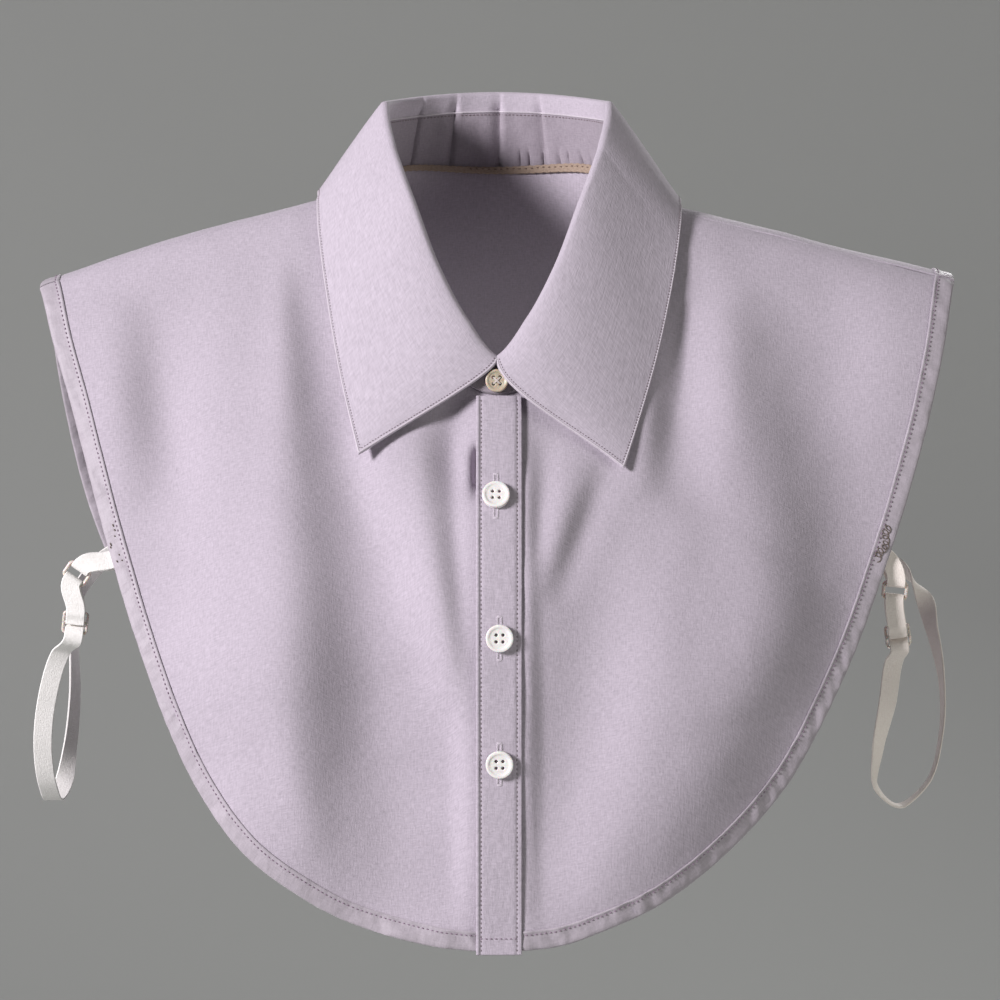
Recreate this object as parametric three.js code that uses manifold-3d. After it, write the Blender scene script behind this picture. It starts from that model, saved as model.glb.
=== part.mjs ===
import * as THREE from "three";
import Module from "manifold-3d";

// A detachable shirt collar on a front and a back bib, closed as it is worn, with an elastic strap
// on each side. Lengths are in millimetres. The origin is in the middle of the neck, level with the
// points where the shoulders meet the neck: +X is to the right of someone facing the front, +Y is
// to the back and +Z is up, so the front faces -Y. Left and right are those of that viewer.

// Bibs
const shoulderHalf = 196.5; // middle of the neck to the end of the shoulder
const shoulderDropLeft = 41.2; // neck point down to the left end of the shoulder
const shoulderDropRight = 38.2;
const shoulderLean = 4.5; // how much lower the right shoulder lies between its ends
const bibLength = 316.3; // neck point down to the lowest edge of the front bib
const backLength = 299; // the same for the back bib
const clothThickness = 1.2;
const bindingWidth = 8; // binding around the edge of both bibs
const bindingThickness = 1.8;
const seamDrop = 2.2; // shoulder seam below the ridge of the shoulder, on the front

// Body that the cloth lies on
const ridgeRound = 20; // how gently the shoulder line rounds off towards the neck
const neckPoint = 46.2; // middle of the neck to where the shoulders are level with the origin
const shoulderDepth = 26; // ridge of the shoulder to the flat of the chest
const shoulderFall = 22; // drop over which the shoulder rounds over
const chestDepth = 95; // ridge of the shoulder forward to the fullest part of the chest
const chestFall = 200; // drop over which the chest comes forward
const bladeDepth = 88; // ridge of the shoulder back to the shoulder blades
const bladeFall = 110;

// Neckline and collar
const neckHalf = 55; // middle to the side of the neckline
const neckFront = 86.3; // neck point down to the neckline at the front
const napeDepth = 40; // middle of the neck back to the nape
const napeRise = 6.6; // neck point up to the neckline at the nape
const napeSag = 1.5; // how far the neckline sags there
const napeEase = 30; // distance over which the nape's form dies away in the back bib
const foldHalf = 46.8; // middle to the side of the fold line
const foldFront = 54; // middle of the neck forward to the fold line
const foldTop = 40.2; // neck point up to the fold line at the back
const foldSide = 36.2; // the same at the sides
const foldBottom = 70.3; // neck point down to the fold line at the front
const standThickness = 1.6;
const standOverlap = 9.5; // how far each end of the stand passes the middle of the front
const leafThickness = 1.4;
const leafRise = 8.4; // seam of the stand up to the fold at the back
const leafRiseFront = 2.8; // the same at the front
const rollRadius = 1.3; // radius of the fold at the back and the sides
const rollRadiusFront = 1.8; // the same at the front
const leafReachLeft = 76.3; // middle out to the edge of the leaf on the shoulder
const leafReachRight = 78;
const leafLap = 10; // how far the leaf falls below the neckline at the back
const leafLift = 2; // air between the edge of the leaf and the bib
const pointReachLeft = 57.2; // middle out to the collar point
const pointReachRight = 52.3;
const pointDropLeft = 111.6; // neck point down to the collar point
const pointDropRight = 117.1;
const tapeHeight = 3; // tape inside the back of the neckline
const tapeThickness = 1;

// Button front
const placketLeft = 8.2; // middle out to the left edge of the placket
const placketRight = 10;
const placketThickness = 1.2;
const placketTop = 87.4; // neck point down to the top of the placket
const buttonDiameter = 11.5;
const buttonThickness = 2.4;
const collarButtonDiameter = 9.6;
const holeDiameter = 1.4;
const holeSpacing = 2.8; // between neighbouring holes of a button
const buttons = [
  { drop: 127.5, aside: -0.4 }, // neck point down to each button, and middle out to the right
  { drop: 184.3, aside: 1.1 },
  { drop: 236.5, aside: 1.1 },
];
const collarButtonDrop = 80.3;

// Straps
const strapWidth = 7.4;
const strapThickness = 1;
const strapDrop = 155; // neck point down to where the straps are sewn to the front
const strapDropBack = 166; // the same at the back
const strapLap = 6; // length of strap behind the edge that it is sewn to
const strapSwing = 32; // how far the loops stand out sideways
const loopDrop = 115; // how far the loops hang below where they are sewn on
const ringHeight = 6.6; // between the middles of the ring's two bars
const ringWire = 1.5;
const ringPlay = 0.8; // play beside the strap in the ring
const sliderBar = 1.2;
const sliderSlot = 3.2;
const sliderThickness = 1.2;
const sliderSide = 1.3; // play beside the strap in the slider

// Clearances
const gap = 0.3; // between pieces that are sewn or lie together
const seatGap = 1.1; // between the neckline and the lower edge of the stand
const leafGap = 0.6; // between the top of the stand and the leaf sewn into it
const strapGap = 0.6; // between the binding and the strap ends sewn behind it

// Edge of the bibs from the end of the shoulder to the middle, below the shoulder seam: down is a
// share of the length, and left and right are shares of the half width.
const frontEdge = [
  { down: 0.2, left: 0.968, right: 0.975 },
  { down: 0.3, left: 0.918, right: 0.939 },
  { down: 0.4, left: 0.872, right: 0.893 },
  { down: 0.5, left: 0.823, right: 0.838 },
  { down: 0.6, left: 0.768, right: 0.774 },
  { down: 0.7, left: 0.707, right: 0.698 },
  { down: 0.79, left: 0.637, right: 0.615 },
  { down: 0.87, left: 0.538, right: 0.495 },
  { down: 0.93, left: 0.407, right: 0.367 },
  { down: 0.967, left: 0.289, right: 0.242 },
  { down: 0.992, left: 0.125, right: 0.125 },
  { down: 1, left: 0, right: 0 },
];
const backEdge = [
  { down: 0.15, left: 0.997, right: 0.993 },
  { down: 0.22, left: 0.99, right: 0.983 },
  { down: 0.32, left: 0.975, right: 0.96 },
  { down: 0.44, left: 0.945, right: 0.92 },
  { down: 0.545, left: 0.895, right: 0.868 },
  { down: 0.65, left: 0.82, right: 0.795 },
  { down: 0.75, left: 0.72, right: 0.7 },
  { down: 0.85, left: 0.59, right: 0.575 },
  { down: 0.92, left: 0.445, right: 0.44 },
  { down: 0.97, left: 0.29, right: 0.29 },
  { down: 0.993, left: 0.145, right: 0.145 },
  { down: 1, left: 0, right: 0 },
];

// How far down the fold line has come, as a share of its whole fall, at each turn around the neck
// from the back (0 degrees) over the shoulder (90) to the front (180).
const foldFalls = [
  { turn: 90, fall: 0 },
  { turn: 102, fall: 0.08 },
  { turn: 113.8, fall: 0.187 },
  { turn: 131.9, fall: 0.383 },
  { turn: 149, fall: 0.645 },
  { turn: 166, fall: 0.865 },
  { turn: 180, fall: 1 },
];

// Folds of the front bibs, from x0 z0 to x1 z1. x0, x1, bow and the widths w0 and w1 at the two
// ends are shares of the half width, z0 and z1 are shares of the length, and rise is the slope
// of the cloth across the fold from left to right, negative where it falls away.
const folds = [
  { x0: -0.443, z0: 0.098, x1: -0.322, z1: 0.981, bow: 0.02, w0: 0.05, w1: 0.23, rise: -0.76 },
  { x0: -0.452, z0: 0.083, x1: -0.414, z1: 0.382, bow: 0, w0: 0.03, w1: 0.05, rise: -0.2 },
  { x0: -0.307, z0: 0.31, x1: -0.044, z1: 0.79, bow: 0.01, w0: 0.06, w1: 0.07, rise: 0.3 },
  { x0: -0.142, z0: 0.31, x1: -0.061, z1: 0.671, bow: 0, w0: 0.055, w1: 0.045, rise: -0.6 },
  { x0: -0.619, z0: 0.076, x1: -0.662, z1: 0.75, bow: 0, w0: 0.08, w1: 0.12, rise: 0.24 },
  { x0: -0.796, z0: 0.133, x1: -0.75, z1: 0.434, bow: 0, w0: 0.07, w1: 0.09, rise: -0.4 },
  { x0: -0.477, z0: 0.691, x1: -0.418, z1: 0.882, bow: 0, w0: 0.06, w1: 0.06, rise: 0.2 },
  { x0: 0.134, z0: 0.33, x1: 0.091, z1: 0.493, bow: 0, w0: 0.035, w1: 0.035, rise: 0.3 },
  { x0: 0.221, z0: 0.346, x1: 0.102, z1: 0.539, bow: 0, w0: 0.04, w1: 0.035, rise: -0.5 },
  { x0: 0.336, z0: 0.408, x1: 0.125, z1: 0.968, bow: 0.02, w0: 0.16, w1: 0.1, rise: 0.36 },
  { x0: 0.465, z0: 0.089, x1: 0.456, z1: 0.434, bow: 0, w0: 0.07, w1: 0.07, rise: 0.3 },
  { x0: 0.372, z0: 0.145, x1: 0.336, z1: 0.408, bow: 0, w0: 0.05, w1: 0.05, rise: -0.6 },
  { x0: 0.541, z0: 0.145, x1: 0.71, z1: 0.671, bow: 0.02, w0: 0.1, w1: 0.18, rise: -0.36 },
  { x0: 0.696, z0: 0.513, x1: 0.282, z1: 0.981, bow: 0.05, w0: 0.14, w1: 0.14, rise: -0.42 },
  { x0: 0.771, z0: 0.089, x1: 0.813, z1: 0.343, bow: 0, w0: 0.12, w1: 0.12, rise: 0.15 },
];
const foldFade = 12; // distance from the middle over which folds rise beside the placket

// Loops of the straps from the slider to the back bib. back is a share of the way from the front
// edge to the back edge, out of strapSwing and down of loopDrop. The strap's width points along
// turn, in degrees from +X towards +Y, raised by tilt.
const leftLoop = [
  { out: 0.7, back: 0.1, down: 0.35, turn: 0, tilt: 0 },
  { out: 0.89, back: 0.19, down: 0.53, turn: 0, tilt: 0 },
  { out: 0.95, back: 0.27, down: 0.72, turn: 0, tilt: 0 },
  { out: 0.88, back: 0.37, down: 0.87, turn: 4, tilt: 0 },
  { out: 0.8, back: 0.46, down: 0.92, turn: 8, tilt: 0 },
  { out: 0.68, back: 0.535, down: 0.87, turn: 15, tilt: 0 },
  { out: 0.57, back: 0.6, down: 0.72, turn: 50, tilt: 0 },
  { out: 0.5, back: 0.68, down: 0.52, turn: 62, tilt: 0 },
  { out: 0.5, back: 0.78, down: 0.34, turn: 70, tilt: -10 },
  { out: 0.45, back: 0.89, down: 0.15, turn: 45, tilt: -40 },
  { out: 0.2, back: 0.96, down: 0.05, turn: 15, tilt: -65 },
];
const rightLoop = [
  { out: 0.12, back: 0.06, down: 0.38, turn: 5, tilt: 0 },
  { out: 0.04, back: 0.1, down: 0.54, turn: 12, tilt: 0 },
  { out: -0.07, back: 0.17, down: 0.72, turn: 50, tilt: 0 },
  { out: -0.06, back: 0.26, down: 0.87, turn: 80, tilt: 0 },
  { out: 0.26, back: 0.35, down: 0.94, turn: 90, tilt: 0 },
  { out: 0.65, back: 0.43, down: 0.86, turn: 90, tilt: 0 },
  { out: 0.86, back: 0.52, down: 0.67, turn: 93, tilt: 0 },
  { out: 0.88, back: 0.62, down: 0.47, turn: 100, tilt: 0 },
  { out: 0.78, back: 0.75, down: 0.29, turn: 118, tilt: 5 },
  { out: 0.64, back: 0.87, down: 0.14, turn: 150, tilt: 40 },
  { out: 0.38, back: 0.95, down: 0.05, turn: 170, tilt: 65 },
];

// The two sides with what differs between them. ringOut and ringDown place the ring from the sewn
// edge and ringTurn and sliderTurn tilt it and the slider, in degrees.
const left = {
  name: "left",
  sign: -1,
  leafReach: leafReachLeft,
  pointReach: pointReachLeft,
  pointDrop: pointDropLeft,
  edgeBow: 0.3,
  ringOut: 16,
  ringDown: 6,
  ringTurn: -35,
  sliderOut: 17,
  sliderDown: 27,
  sliderTurn: -6,
  loop: leftLoop,
  strapColour: 0xf4f1ee,
};
const right = {
  name: "right",
  sign: 1,
  leafReach: leafReachRight,
  pointReach: pointReachRight,
  pointDrop: pointDropRight,
  edgeBow: 0.65,
  ringOut: 4,
  ringDown: 13.5,
  ringTurn: -6,
  sliderOut: 5.5,
  sliderDown: 33,
  sliderTurn: 8,
  loop: rightLoop,
  strapColour: 0xe9dcd2,
};

const { degToRad, lerp, mapLinear, smoothstep } = THREE.MathUtils;
const sine = (degrees) => Math.sin(degToRad(degrees));
const cosine = (degrees) => Math.cos(degToRad(degrees));

// Materials

const paint = (color, roughness) =>
  new THREE.MeshStandardMaterial({ color, roughness, metalness: 0 });
const cotton = paint(0xbfb4c0, 0.9);
const collarCotton = paint(0xc6bbc9, 0.85);
const bindingCotton = paint(0xb4a9b6, 0.8);
const tapeCotton = paint(0xa98f7a, 0.9);
const shell = paint(0xf1eeea, 0.35);
const horn = paint(0xb9ad97, 0.4);
const nylon = paint(0xe8d6cd, 0.35);

const group = new THREE.Group();

function add(name, geometry, material) {
  const mesh = new THREE.Mesh(geometry, material);
  mesh.name = name;
  group.add(mesh);
  return mesh;
}

// Closed geometry from a list of points and a list of triangles
function solid(points, triangles) {
  const geometry = new THREE.BufferGeometry().setFromPoints(points);
  geometry.setIndex(triangles);
  geometry.computeVertexNormals();
  return geometry;
}

// A sheet of even thickness around a grid of points on its middle surface
function sheet(grid, thickness) {
  const rows = grid.length;
  const columns = grid[0].length;
  const points = [];
  const place = (row, column, face) => 2 * (row * columns + column) + face;
  for (let row = 0; row < rows; row++) {
    for (let column = 0; column < columns; column++) {
      const along = grid[Math.min(row + 1, rows - 1)][column]
        .clone()
        .sub(grid[Math.max(row - 1, 0)][column]);
      const across = grid[row][Math.min(column + 1, columns - 1)]
        .clone()
        .sub(grid[row][Math.max(column - 1, 0)]);
      const normal = along.cross(across).normalize();
      for (const face of [0.5, -0.5]) {
        points.push(grid[row][column].clone().addScaledVector(normal, face * thickness));
      }
    }
  }
  const triangles = [];
  const quad = (a, b, c, d) => triangles.push(a, b, c, a, c, d);
  for (let row = 0; row < rows - 1; row++) {
    for (let column = 0; column < columns - 1; column++) {
      const corners = [
        [row, column],
        [row + 1, column],
        [row + 1, column + 1],
        [row, column + 1],
      ];
      quad(...corners.map(([i, j]) => place(i, j, 0)));
      quad(...corners.map(([i, j]) => place(i, j, 1)).reverse());
    }
    for (const [column, first] of [
      [0, 1],
      [columns - 1, 0],
    ]) {
      quad(
        place(row, column, first),
        place(row + 1, column, first),
        place(row + 1, column, 1 - first),
        place(row, column, 1 - first),
      );
    }
  }
  for (let column = 0; column < columns - 1; column++) {
    for (const [row, first] of [
      [0, 0],
      [rows - 1, 1],
    ]) {
      quad(
        place(row, column, first),
        place(row, column + 1, first),
        place(row, column + 1, 1 - first),
        place(row, column, 1 - first),
      );
    }
  }
  return solid(points, triangles);
}

// Calls make(share) for evenly spaced shares from 0 to 1
const steps = (count, make) => Array.from({ length: count + 1 }, (_, i) => make(i / count));

// Places on the cloth are given by x and by lap: the square root of the drop below the ridge of the
// shoulder, negative in front of the ridge, so that even steps of it run smoothly over the ridge.

const neckSpan = Math.hypot(neckPoint, ridgeRound);
const ridgeSpan = Math.hypot(shoulderHalf, ridgeRound) - neckSpan;
const ridgeCurl = 0.1; // share of the shoulder's fall that comes towards its end

// Height of the shoulder's ridge
function ridge(x) {
  const share = (Math.hypot(x, ridgeRound) - neckSpan) / ridgeSpan;
  const drop = mapLinear(x, -shoulderHalf, shoulderHalf, shoulderDropLeft, shoulderDropRight);
  const across = x / shoulderHalf;
  const curl = ridgeCurl * Math.max(share, 0) ** 3;
  return -drop * ((1 - ridgeCurl) * share + curl) - shoulderLean * across * (1 - across ** 2);
}

const front = { depth: chestDepth, fall: chestFall, roundness: 0.42 };
const back = { depth: bladeDepth, fall: bladeFall, roundness: 0.3 };

// Point of the body
function body(x, lap) {
  const drop = lap * lap;
  const { depth, fall, roundness } = lap < 0 ? front : back;
  const shoulder = shoulderDepth * Math.sqrt(1 - Math.exp(-drop / shoulderFall));
  const fullness = depth * (1 - roundness * (x / shoulderHalf) ** 2) - shoulderDepth;
  const y = shoulder + fullness * smoothstep(drop, 0, fall);
  return new THREE.Vector3(x, Math.sign(lap) * y, ridge(x) - drop);
}

// Direction away from the body
function outward(x, lap) {
  const step = 0.01;
  const across = body(x + step, lap).sub(body(x - step, lap));
  const down = body(x, lap + step).sub(body(x, lap - step));
  return across.cross(down).normalize();
}

// Lap of the front at a height
const frontLap = (x, z) => -Math.sqrt(Math.max(ridge(x) - z, 0));

// How far the folds lift the front bib at a place
function lift(x, z) {
  let height = 0;
  for (const fold of folds) {
    const start = new THREE.Vector2(fold.x0 * shoulderHalf, -fold.z0 * bibLength);
    const line = new THREE.Vector2(fold.x1 * shoulderHalf, -fold.z1 * bibLength).sub(start);
    const length = line.length();
    line.normalize();
    const from = new THREE.Vector2(x, z).sub(start);
    const share = from.dot(line) / length;
    if (share <= 0 || share >= 1) continue;
    const swell = Math.sin(Math.PI * share);
    const width = THREE.MathUtils.lerp(fold.w0, fold.w1, share) * shoulderHalf;
    const aside = line.x * from.y - line.y * from.x;
    const across = (aside - fold.bow * swell * shoulderHalf) / width;
    height += fold.rise * width * across * Math.exp(-(across ** 2)) * swell ** 0.7;
  }
  return height * smoothstep(Math.abs(x), placketLeft, placketLeft + foldFade);
}

// Point of the front bib's middle surface
function frontCloth(x, lap) {
  const point = body(x, lap);
  return point.add(new THREE.Vector3(0, -lift(x, point.z), 0));
}

const neckLap = Math.sqrt(ridge(0) + neckFront);
const napeLap = 1.5;
const seamLap = Math.sqrt(seamDrop);
const seamTurn = 90 + THREE.MathUtils.radToDeg(Math.asin(seamLap / neckLap));
const seamStep = (gap * Math.sqrt(shoulderFall)) / shoulderDepth;

// Place on the cloth of the neckline at a turn around the neck
const neckPlace = (sign, turn) => ({
  x: sign * neckHalf * sine(turn),
  lap: cosine(turn) * (turn > 90 ? neckLap : napeLap),
});

// Point of the neckline: on the front it lies on the body, and behind it rounds the nape
function neckline(sign, turn) {
  const { x, lap } = neckPlace(sign, turn);
  if (turn > 90) return body(x, lap);
  const z = lerp(napeRise, ridge(x), sine(turn) ** 8) + napeSag * sine(2 * turn) ** 2;
  return new THREE.Vector3(x, napeDepth * cosine(turn) ** 0.9, z);
}

// Place on the cloth of a bib's edge, moved inwards by inset, from the shoulder (0) to the middle (1)
function edgeCurve(sign, rows, length, inset, firstLap, facing) {
  const half = shoulderHalf - inset;
  const places = rows.map((row) => {
    const x = sign * (sign < 0 ? row.left : row.right) * half;
    return new THREE.Vector2(x, facing * Math.sqrt(ridge(x) + row.down * (length - inset)));
  });
  return new THREE.SplineCurve([new THREE.Vector2(sign * half, firstLap), ...places]);
}
const frontEdgeCurve = (sign, inset) =>
  edgeCurve(sign, frontEdge, bibLength, inset, -seamLap, -1);
const backEdgeCurve = (sign, inset) =>
  edgeCurve(sign, backEdge, backLength, inset, seamStep - seamLap, 1);

// Place between the neckline and the edge of the front bib, kept clear of the middle
function frontPlace(sign, edge, share, width) {
  const turn = lerp(seamTurn, 180, share);
  const start = neckPlace(sign, turn);
  const end = edge.getPoint(share);
  const x = lerp(start.x, end.x, width);
  return { x: sign * Math.max(sign * x, gap / 2), lap: lerp(start.lap, end.y, width) };
}

// Point of the back bib between the neckline and its edge, from the shoulder seam (turn seamTurn)
// to the middle of the back (turn 0)
function backCloth(sign, edge, turn, width) {
  const start = neckPlace(sign, turn);
  const end = edge.getPoint(1 - turn / seamTurn);
  const from = body(start.x, start.lap);
  const point = body(lerp(start.x, end.x, width), lerp(start.lap, end.y, width));
  const pull = Math.exp(-point.distanceTo(from) / napeEase);
  return point.addScaledVector(neckline(sign, turn).sub(from), pull);
}

// Front bibs: one cut piece each side of the button front

const frontSteps = 24;
for (const side of [left, right]) {
  const edge = frontEdgeCurve(side.sign, bindingWidth + gap);
  const grid = steps(frontSteps, (share) =>
    steps(14, (width) => {
      const { x, lap } = frontPlace(side.sign, edge, share, width);
      return frontCloth(x, lap);
    }),
  );
  add("front_panel_" + side.name, sheet(grid, clothThickness), cotton);
}

// Back bib: one cut piece, which passes over the ridge of the shoulders to the shoulder seams

const backSteps = 30;
const backSeamTurn = seamTurn - THREE.MathUtils.radToDeg(seamStep / neckLap);
const backSide = (share) => (share < 0.5 ? -1 : 1);
{
  const edges = { "-1": backEdgeCurve(-1, bindingWidth + gap), 1: backEdgeCurve(1, bindingWidth + gap) };
  const grid = steps(backSteps, (share) =>
    steps(12, (width) => {
      const sign = backSide(share);
      return backCloth(sign, edges[sign], Math.abs(2 * share - 1) * backSeamTurn, width);
    }),
  );
  add("back_panel", sheet(grid, clothThickness), cotton);
}

// Binding: a folded strip around the edge of each bib

function binding(count, place) {
  return sheet(
    steps(count, (share) => steps(2, (width) => place(share, width * bindingWidth))),
    bindingThickness,
  );
}
for (const side of [left, right]) {
  const point = (share, inset) => {
    const end = frontEdgeCurve(side.sign, inset).getPoint(share);
    return frontCloth(side.sign * Math.max(side.sign * end.x, gap / 2), end.y);
  };
  add("edge_binding_front_" + side.name, binding(frontSteps, point), bindingCotton);
}
{
  const point = (share, inset) => {
    const sign = backSide(share);
    const turn = Math.abs(2 * share - 1) * backSeamTurn;
    return backCloth(sign, backEdgeCurve(sign, inset), turn, 1);
  };
  add("edge_binding_back", binding(backSteps, point), bindingCotton);
}

// Collar stand: a band around the neck whose left end lies over the right one at the front

const foldCurve = new THREE.SplineCurve(
  foldFalls.map(({ turn, fall }) => new THREE.Vector2(turn, fall)),
);
function foldFall(turn) {
  const last = foldFalls.length - 1;
  const row = Math.min(
    foldFalls.findLastIndex((entry) => entry.turn <= turn),
    last - 1,
  );
  const share = (turn - foldFalls[row].turn) / (foldFalls[row + 1].turn - foldFalls[row].turn);
  return foldCurve.getPoint((row + share) / last).y;
}

// Point of the fold line
function foldLine(sign, turn) {
  const x = sign * foldHalf * sine(turn);
  if (turn <= 90) {
    return new THREE.Vector3(x, napeDepth * cosine(turn), lerp(foldSide, foldTop, cosine(turn) ** 2));
  }
  const z = lerp(foldSide, -foldBottom, foldFall(Math.min(turn, 180)));
  return new THREE.Vector3(x, foldFront * cosine(turn), z);
}

const awayFromNeck = (sign, turn) => new THREE.Vector3(sign * sine(turn), cosine(turn), 0);
const riseAt = (turn) => lerp(leafRise, leafRiseFront, smoothstep(turn, 90, 180));

// Point of the stand between its lower edge (0) and its top seam (1)
function standPoint(side, turn, width) {
  const start = neckline(side.sign, turn);
  const up = foldLine(side.sign, turn).sub(start);
  const height = up.length() - riseAt(turn);
  up.normalize();
  const lapOver = (standThickness + 2 * gap) / 2;
  const aside = -side.sign * lapOver * smoothstep(turn, 140, 168);
  return start
    .addScaledVector(up, lerp(seatGap, height, width))
    .addScaledVector(awayFromNeck(side.sign, turn), aside);
}

// Turns around the neck from the left end of the leaf to its right end, a small gap off the middle
const leafEnd = 180 - THREE.MathUtils.radToDeg(Math.asin(gap / 2 / foldHalf));
const roundNeck = steps(44, (share) => ({
  side: share < 0.5 ? left : right,
  turn: Math.abs(2 * share - 1) * leafEnd,
}));
const standEnd = 180 + THREE.MathUtils.radToDeg(Math.asin(standOverlap / neckHalf));
{
  const ends = [standEnd, (180 + standEnd) / 2];
  const turns = [
    ...ends.map((turn) => ({ side: left, turn })),
    ...roundNeck,
    ...ends.reverse().map((turn) => ({ side: right, turn })),
  ];
  const grid = turns.map(({ side, turn }) => steps(4, (width) => standPoint(side, turn, width)));
  add("collar_stand", sheet(grid, standThickness), cotton);
}

// Collar leaf: sewn into the top of the stand, rolled over and spread to the two points

// Point of the leaf's free edge, which passes round the back, over the shoulder and to the point
function leafEdge(side, turn) {
  const height = leafLift + (leafThickness + clothThickness) / 2;
  if (turn <= backSeamTurn) {
    const edge = backEdgeCurve(side.sign, 0);
    const middleLap = Math.sqrt(ridge(0) - napeRise + leafLap);
    const endLap = edge.getPoint(1).y;
    const middle = (middleLap - napeLap) / (endLap - napeLap);
    const shoulder = (side.leafReach - neckHalf) / (shoulderHalf - neckHalf);
    const width = lerp(middle, shoulder, smoothstep(turn, 0, backSeamTurn));
    const at = (t, w) => backCloth(side.sign, edge, t, w);
    const along = at(turn + 0.1, width).sub(at(turn - 0.1, width));
    const down = at(turn, width + 0.001).sub(at(turn, width - 0.001));
    const normal = along.cross(down).normalize().multiplyScalar(side.sign);
    return at(turn, width).addScaledVector(normal, height);
  }
  const pointX = side.sign * side.pointReach;
  const pointLap = -frontLap(pointX, -side.pointDrop);
  const share = cosine(turn) ** 2;
  const x = side.sign * lerp(side.leafReach, side.pointReach, share ** 1.5);
  const lap = pointLap * cosine(turn);
  return body(x, lap).addScaledVector(outward(x, lap), height);
}

function leafSection(side, turn) {
  const start = neckline(side.sign, turn);
  const fold = foldLine(side.sign, turn);
  const up = fold.clone().sub(start).normalize();
  const out = awayFromNeck(side.sign, turn);
  const roll = lerp(rollRadius, rollRadiusFront, smoothstep(turn, 120, 170));
  const radius = Math.min(roll, riseAt(turn) - leafGap);
  const centre = fold.clone().addScaledVector(up, -radius).addScaledVector(out, radius);
  const onRoll = (angle) =>
    centre
      .clone()
      .addScaledVector(out, -radius * cosine(angle))
      .addScaledVector(up, radius * sine(angle));
  const section = [fold.clone().addScaledVector(up, leafGap - riseAt(turn))];
  for (const angle of [30, 70, 110, 150]) section.push(onRoll(angle));
  const from = section[section.length - 1];
  const to = leafEdge(side, turn);
  const span = to.clone().sub(from);
  const reach = span.length();
  const leave = onRoll(155).sub(onRoll(145)).normalize();
  const bow = lerp(0.7, side.edgeBow, smoothstep(turn, 120, 180)) * reach;
  const curve = new THREE.CubicBezierCurve3(
    from,
    from.clone().addScaledVector(leave, bow / 3),
    to.clone().addScaledVector(span, -1 / 3),
    to,
  );
  for (const share of [0.12, 0.26, 0.42, 0.6, 0.8, 1]) section.push(curve.getPoint(share));
  return section;
}

add(
  "collar_leaf",
  sheet(
    roundNeck.map(({ side, turn }) => leafSection(side, turn)),
    leafThickness,
  ),
  collarCotton,
);

// Neck tape: a narrow strip that covers the seam inside the back of the neck

{
  const inset = (standThickness + tapeThickness) / 2 + 2 * gap;
  const grid = steps(18, (share) => {
    const turn = Math.abs(2 * share - 1) * 80;
    const sign = backSide(share);
    const middle = neckline(sign, turn).addScaledVector(awayFromNeck(sign, turn), -inset);
    return [-0.5, 0.5].map((part) => middle.clone().setZ(middle.z + part * tapeHeight));
  });
  add("neck_tape", sheet(grid, tapeThickness), tapeCotton);
}

// Placket: a straight band down the middle of the front, over both bibs and their bindings

const placketLift = (bindingThickness + placketThickness) / 2 + gap;
{
  const grid = steps(16, (share) => {
    const z = lerp(-placketTop, -bibLength, share);
    return steps(3, (width) => {
      const x = lerp(-placketLeft, placketRight, width);
      const lap = frontLap(x, z);
      return body(x, lap).addScaledVector(outward(x, lap), placketLift);
    });
  });
  add("placket", sheet(grid, placketThickness), cotton);
}

// Buttons: turned discs with a raised rim and four holes

const wasm = await Module();
wasm.setup();

function manifold(geometry) {
  const merged = new Map();
  const points = [];
  const position = geometry.getAttribute("position");
  const corner = (index) => {
    const at = [position.getX(index), position.getY(index), position.getZ(index)];
    const key = at.map((value) => Math.round(value * 1e4)).join();
    if (!merged.has(key)) merged.set(key, points.push(at) - 1);
    return merged.get(key);
  };
  const source = geometry.index?.array ?? Array(position.count).keys();
  const corners = [...source].map(corner);
  const triangles = [];
  for (let i = 0; i < corners.length; i += 3) {
    const [a, b, c] = corners.slice(i, i + 3);
    if (a !== b && b !== c && c !== a) triangles.push(a, b, c);
  }
  const mesh = new wasm.Mesh({
    numProp: 3,
    vertProperties: new Float32Array(points.flat()),
    triVerts: new Uint32Array(triangles),
  });
  return new wasm.Manifold(mesh);
}

function cutGeometry(cut) {
  const { vertProperties, triVerts } = cut.getMesh();
  const geometry = new THREE.BufferGeometry();
  geometry.setAttribute("position", new THREE.BufferAttribute(new Float32Array(vertProperties), 3));
  geometry.setIndex([...triVerts]);
  geometry.computeVertexNormals();
  return geometry;
}

function button(diameter) {
  const radius = diameter / 2;
  const edge = 0.18 * buttonThickness;
  const rim = 0.2 * radius;
  const profile = [
    [0, 0],
    [radius - edge, 0],
    [radius, edge],
    [radius, buttonThickness - edge],
    [radius - edge, buttonThickness],
    [radius - rim, buttonThickness],
    [radius - 1.5 * rim, 0.75 * buttonThickness],
    [0, 0.7 * buttonThickness],
  ].map(([x, y]) => new THREE.Vector2(x, y));
  let disc = manifold(new THREE.LatheGeometry(profile, 20).rotateX(Math.PI / 2));
  for (const x of [-0.5, 0.5]) {
    for (const y of [-0.5, 0.5]) {
      const drill = new THREE.CylinderGeometry(holeDiameter / 2, holeDiameter / 2, 3 * buttonThickness, 8);
      drill.rotateX(Math.PI / 2).translate(x * holeSpacing, y * holeSpacing, 0);
      disc = disc.subtract(manifold(drill));
    }
  }
  return cutGeometry(disc);
}

function addButton(name, diameter, material, at, direction) {
  const mesh = add(name, button(diameter), material);
  mesh.quaternion.setFromUnitVectors(new THREE.Vector3(0, 0, 1), direction);
  mesh.position.copy(at);
}

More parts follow.
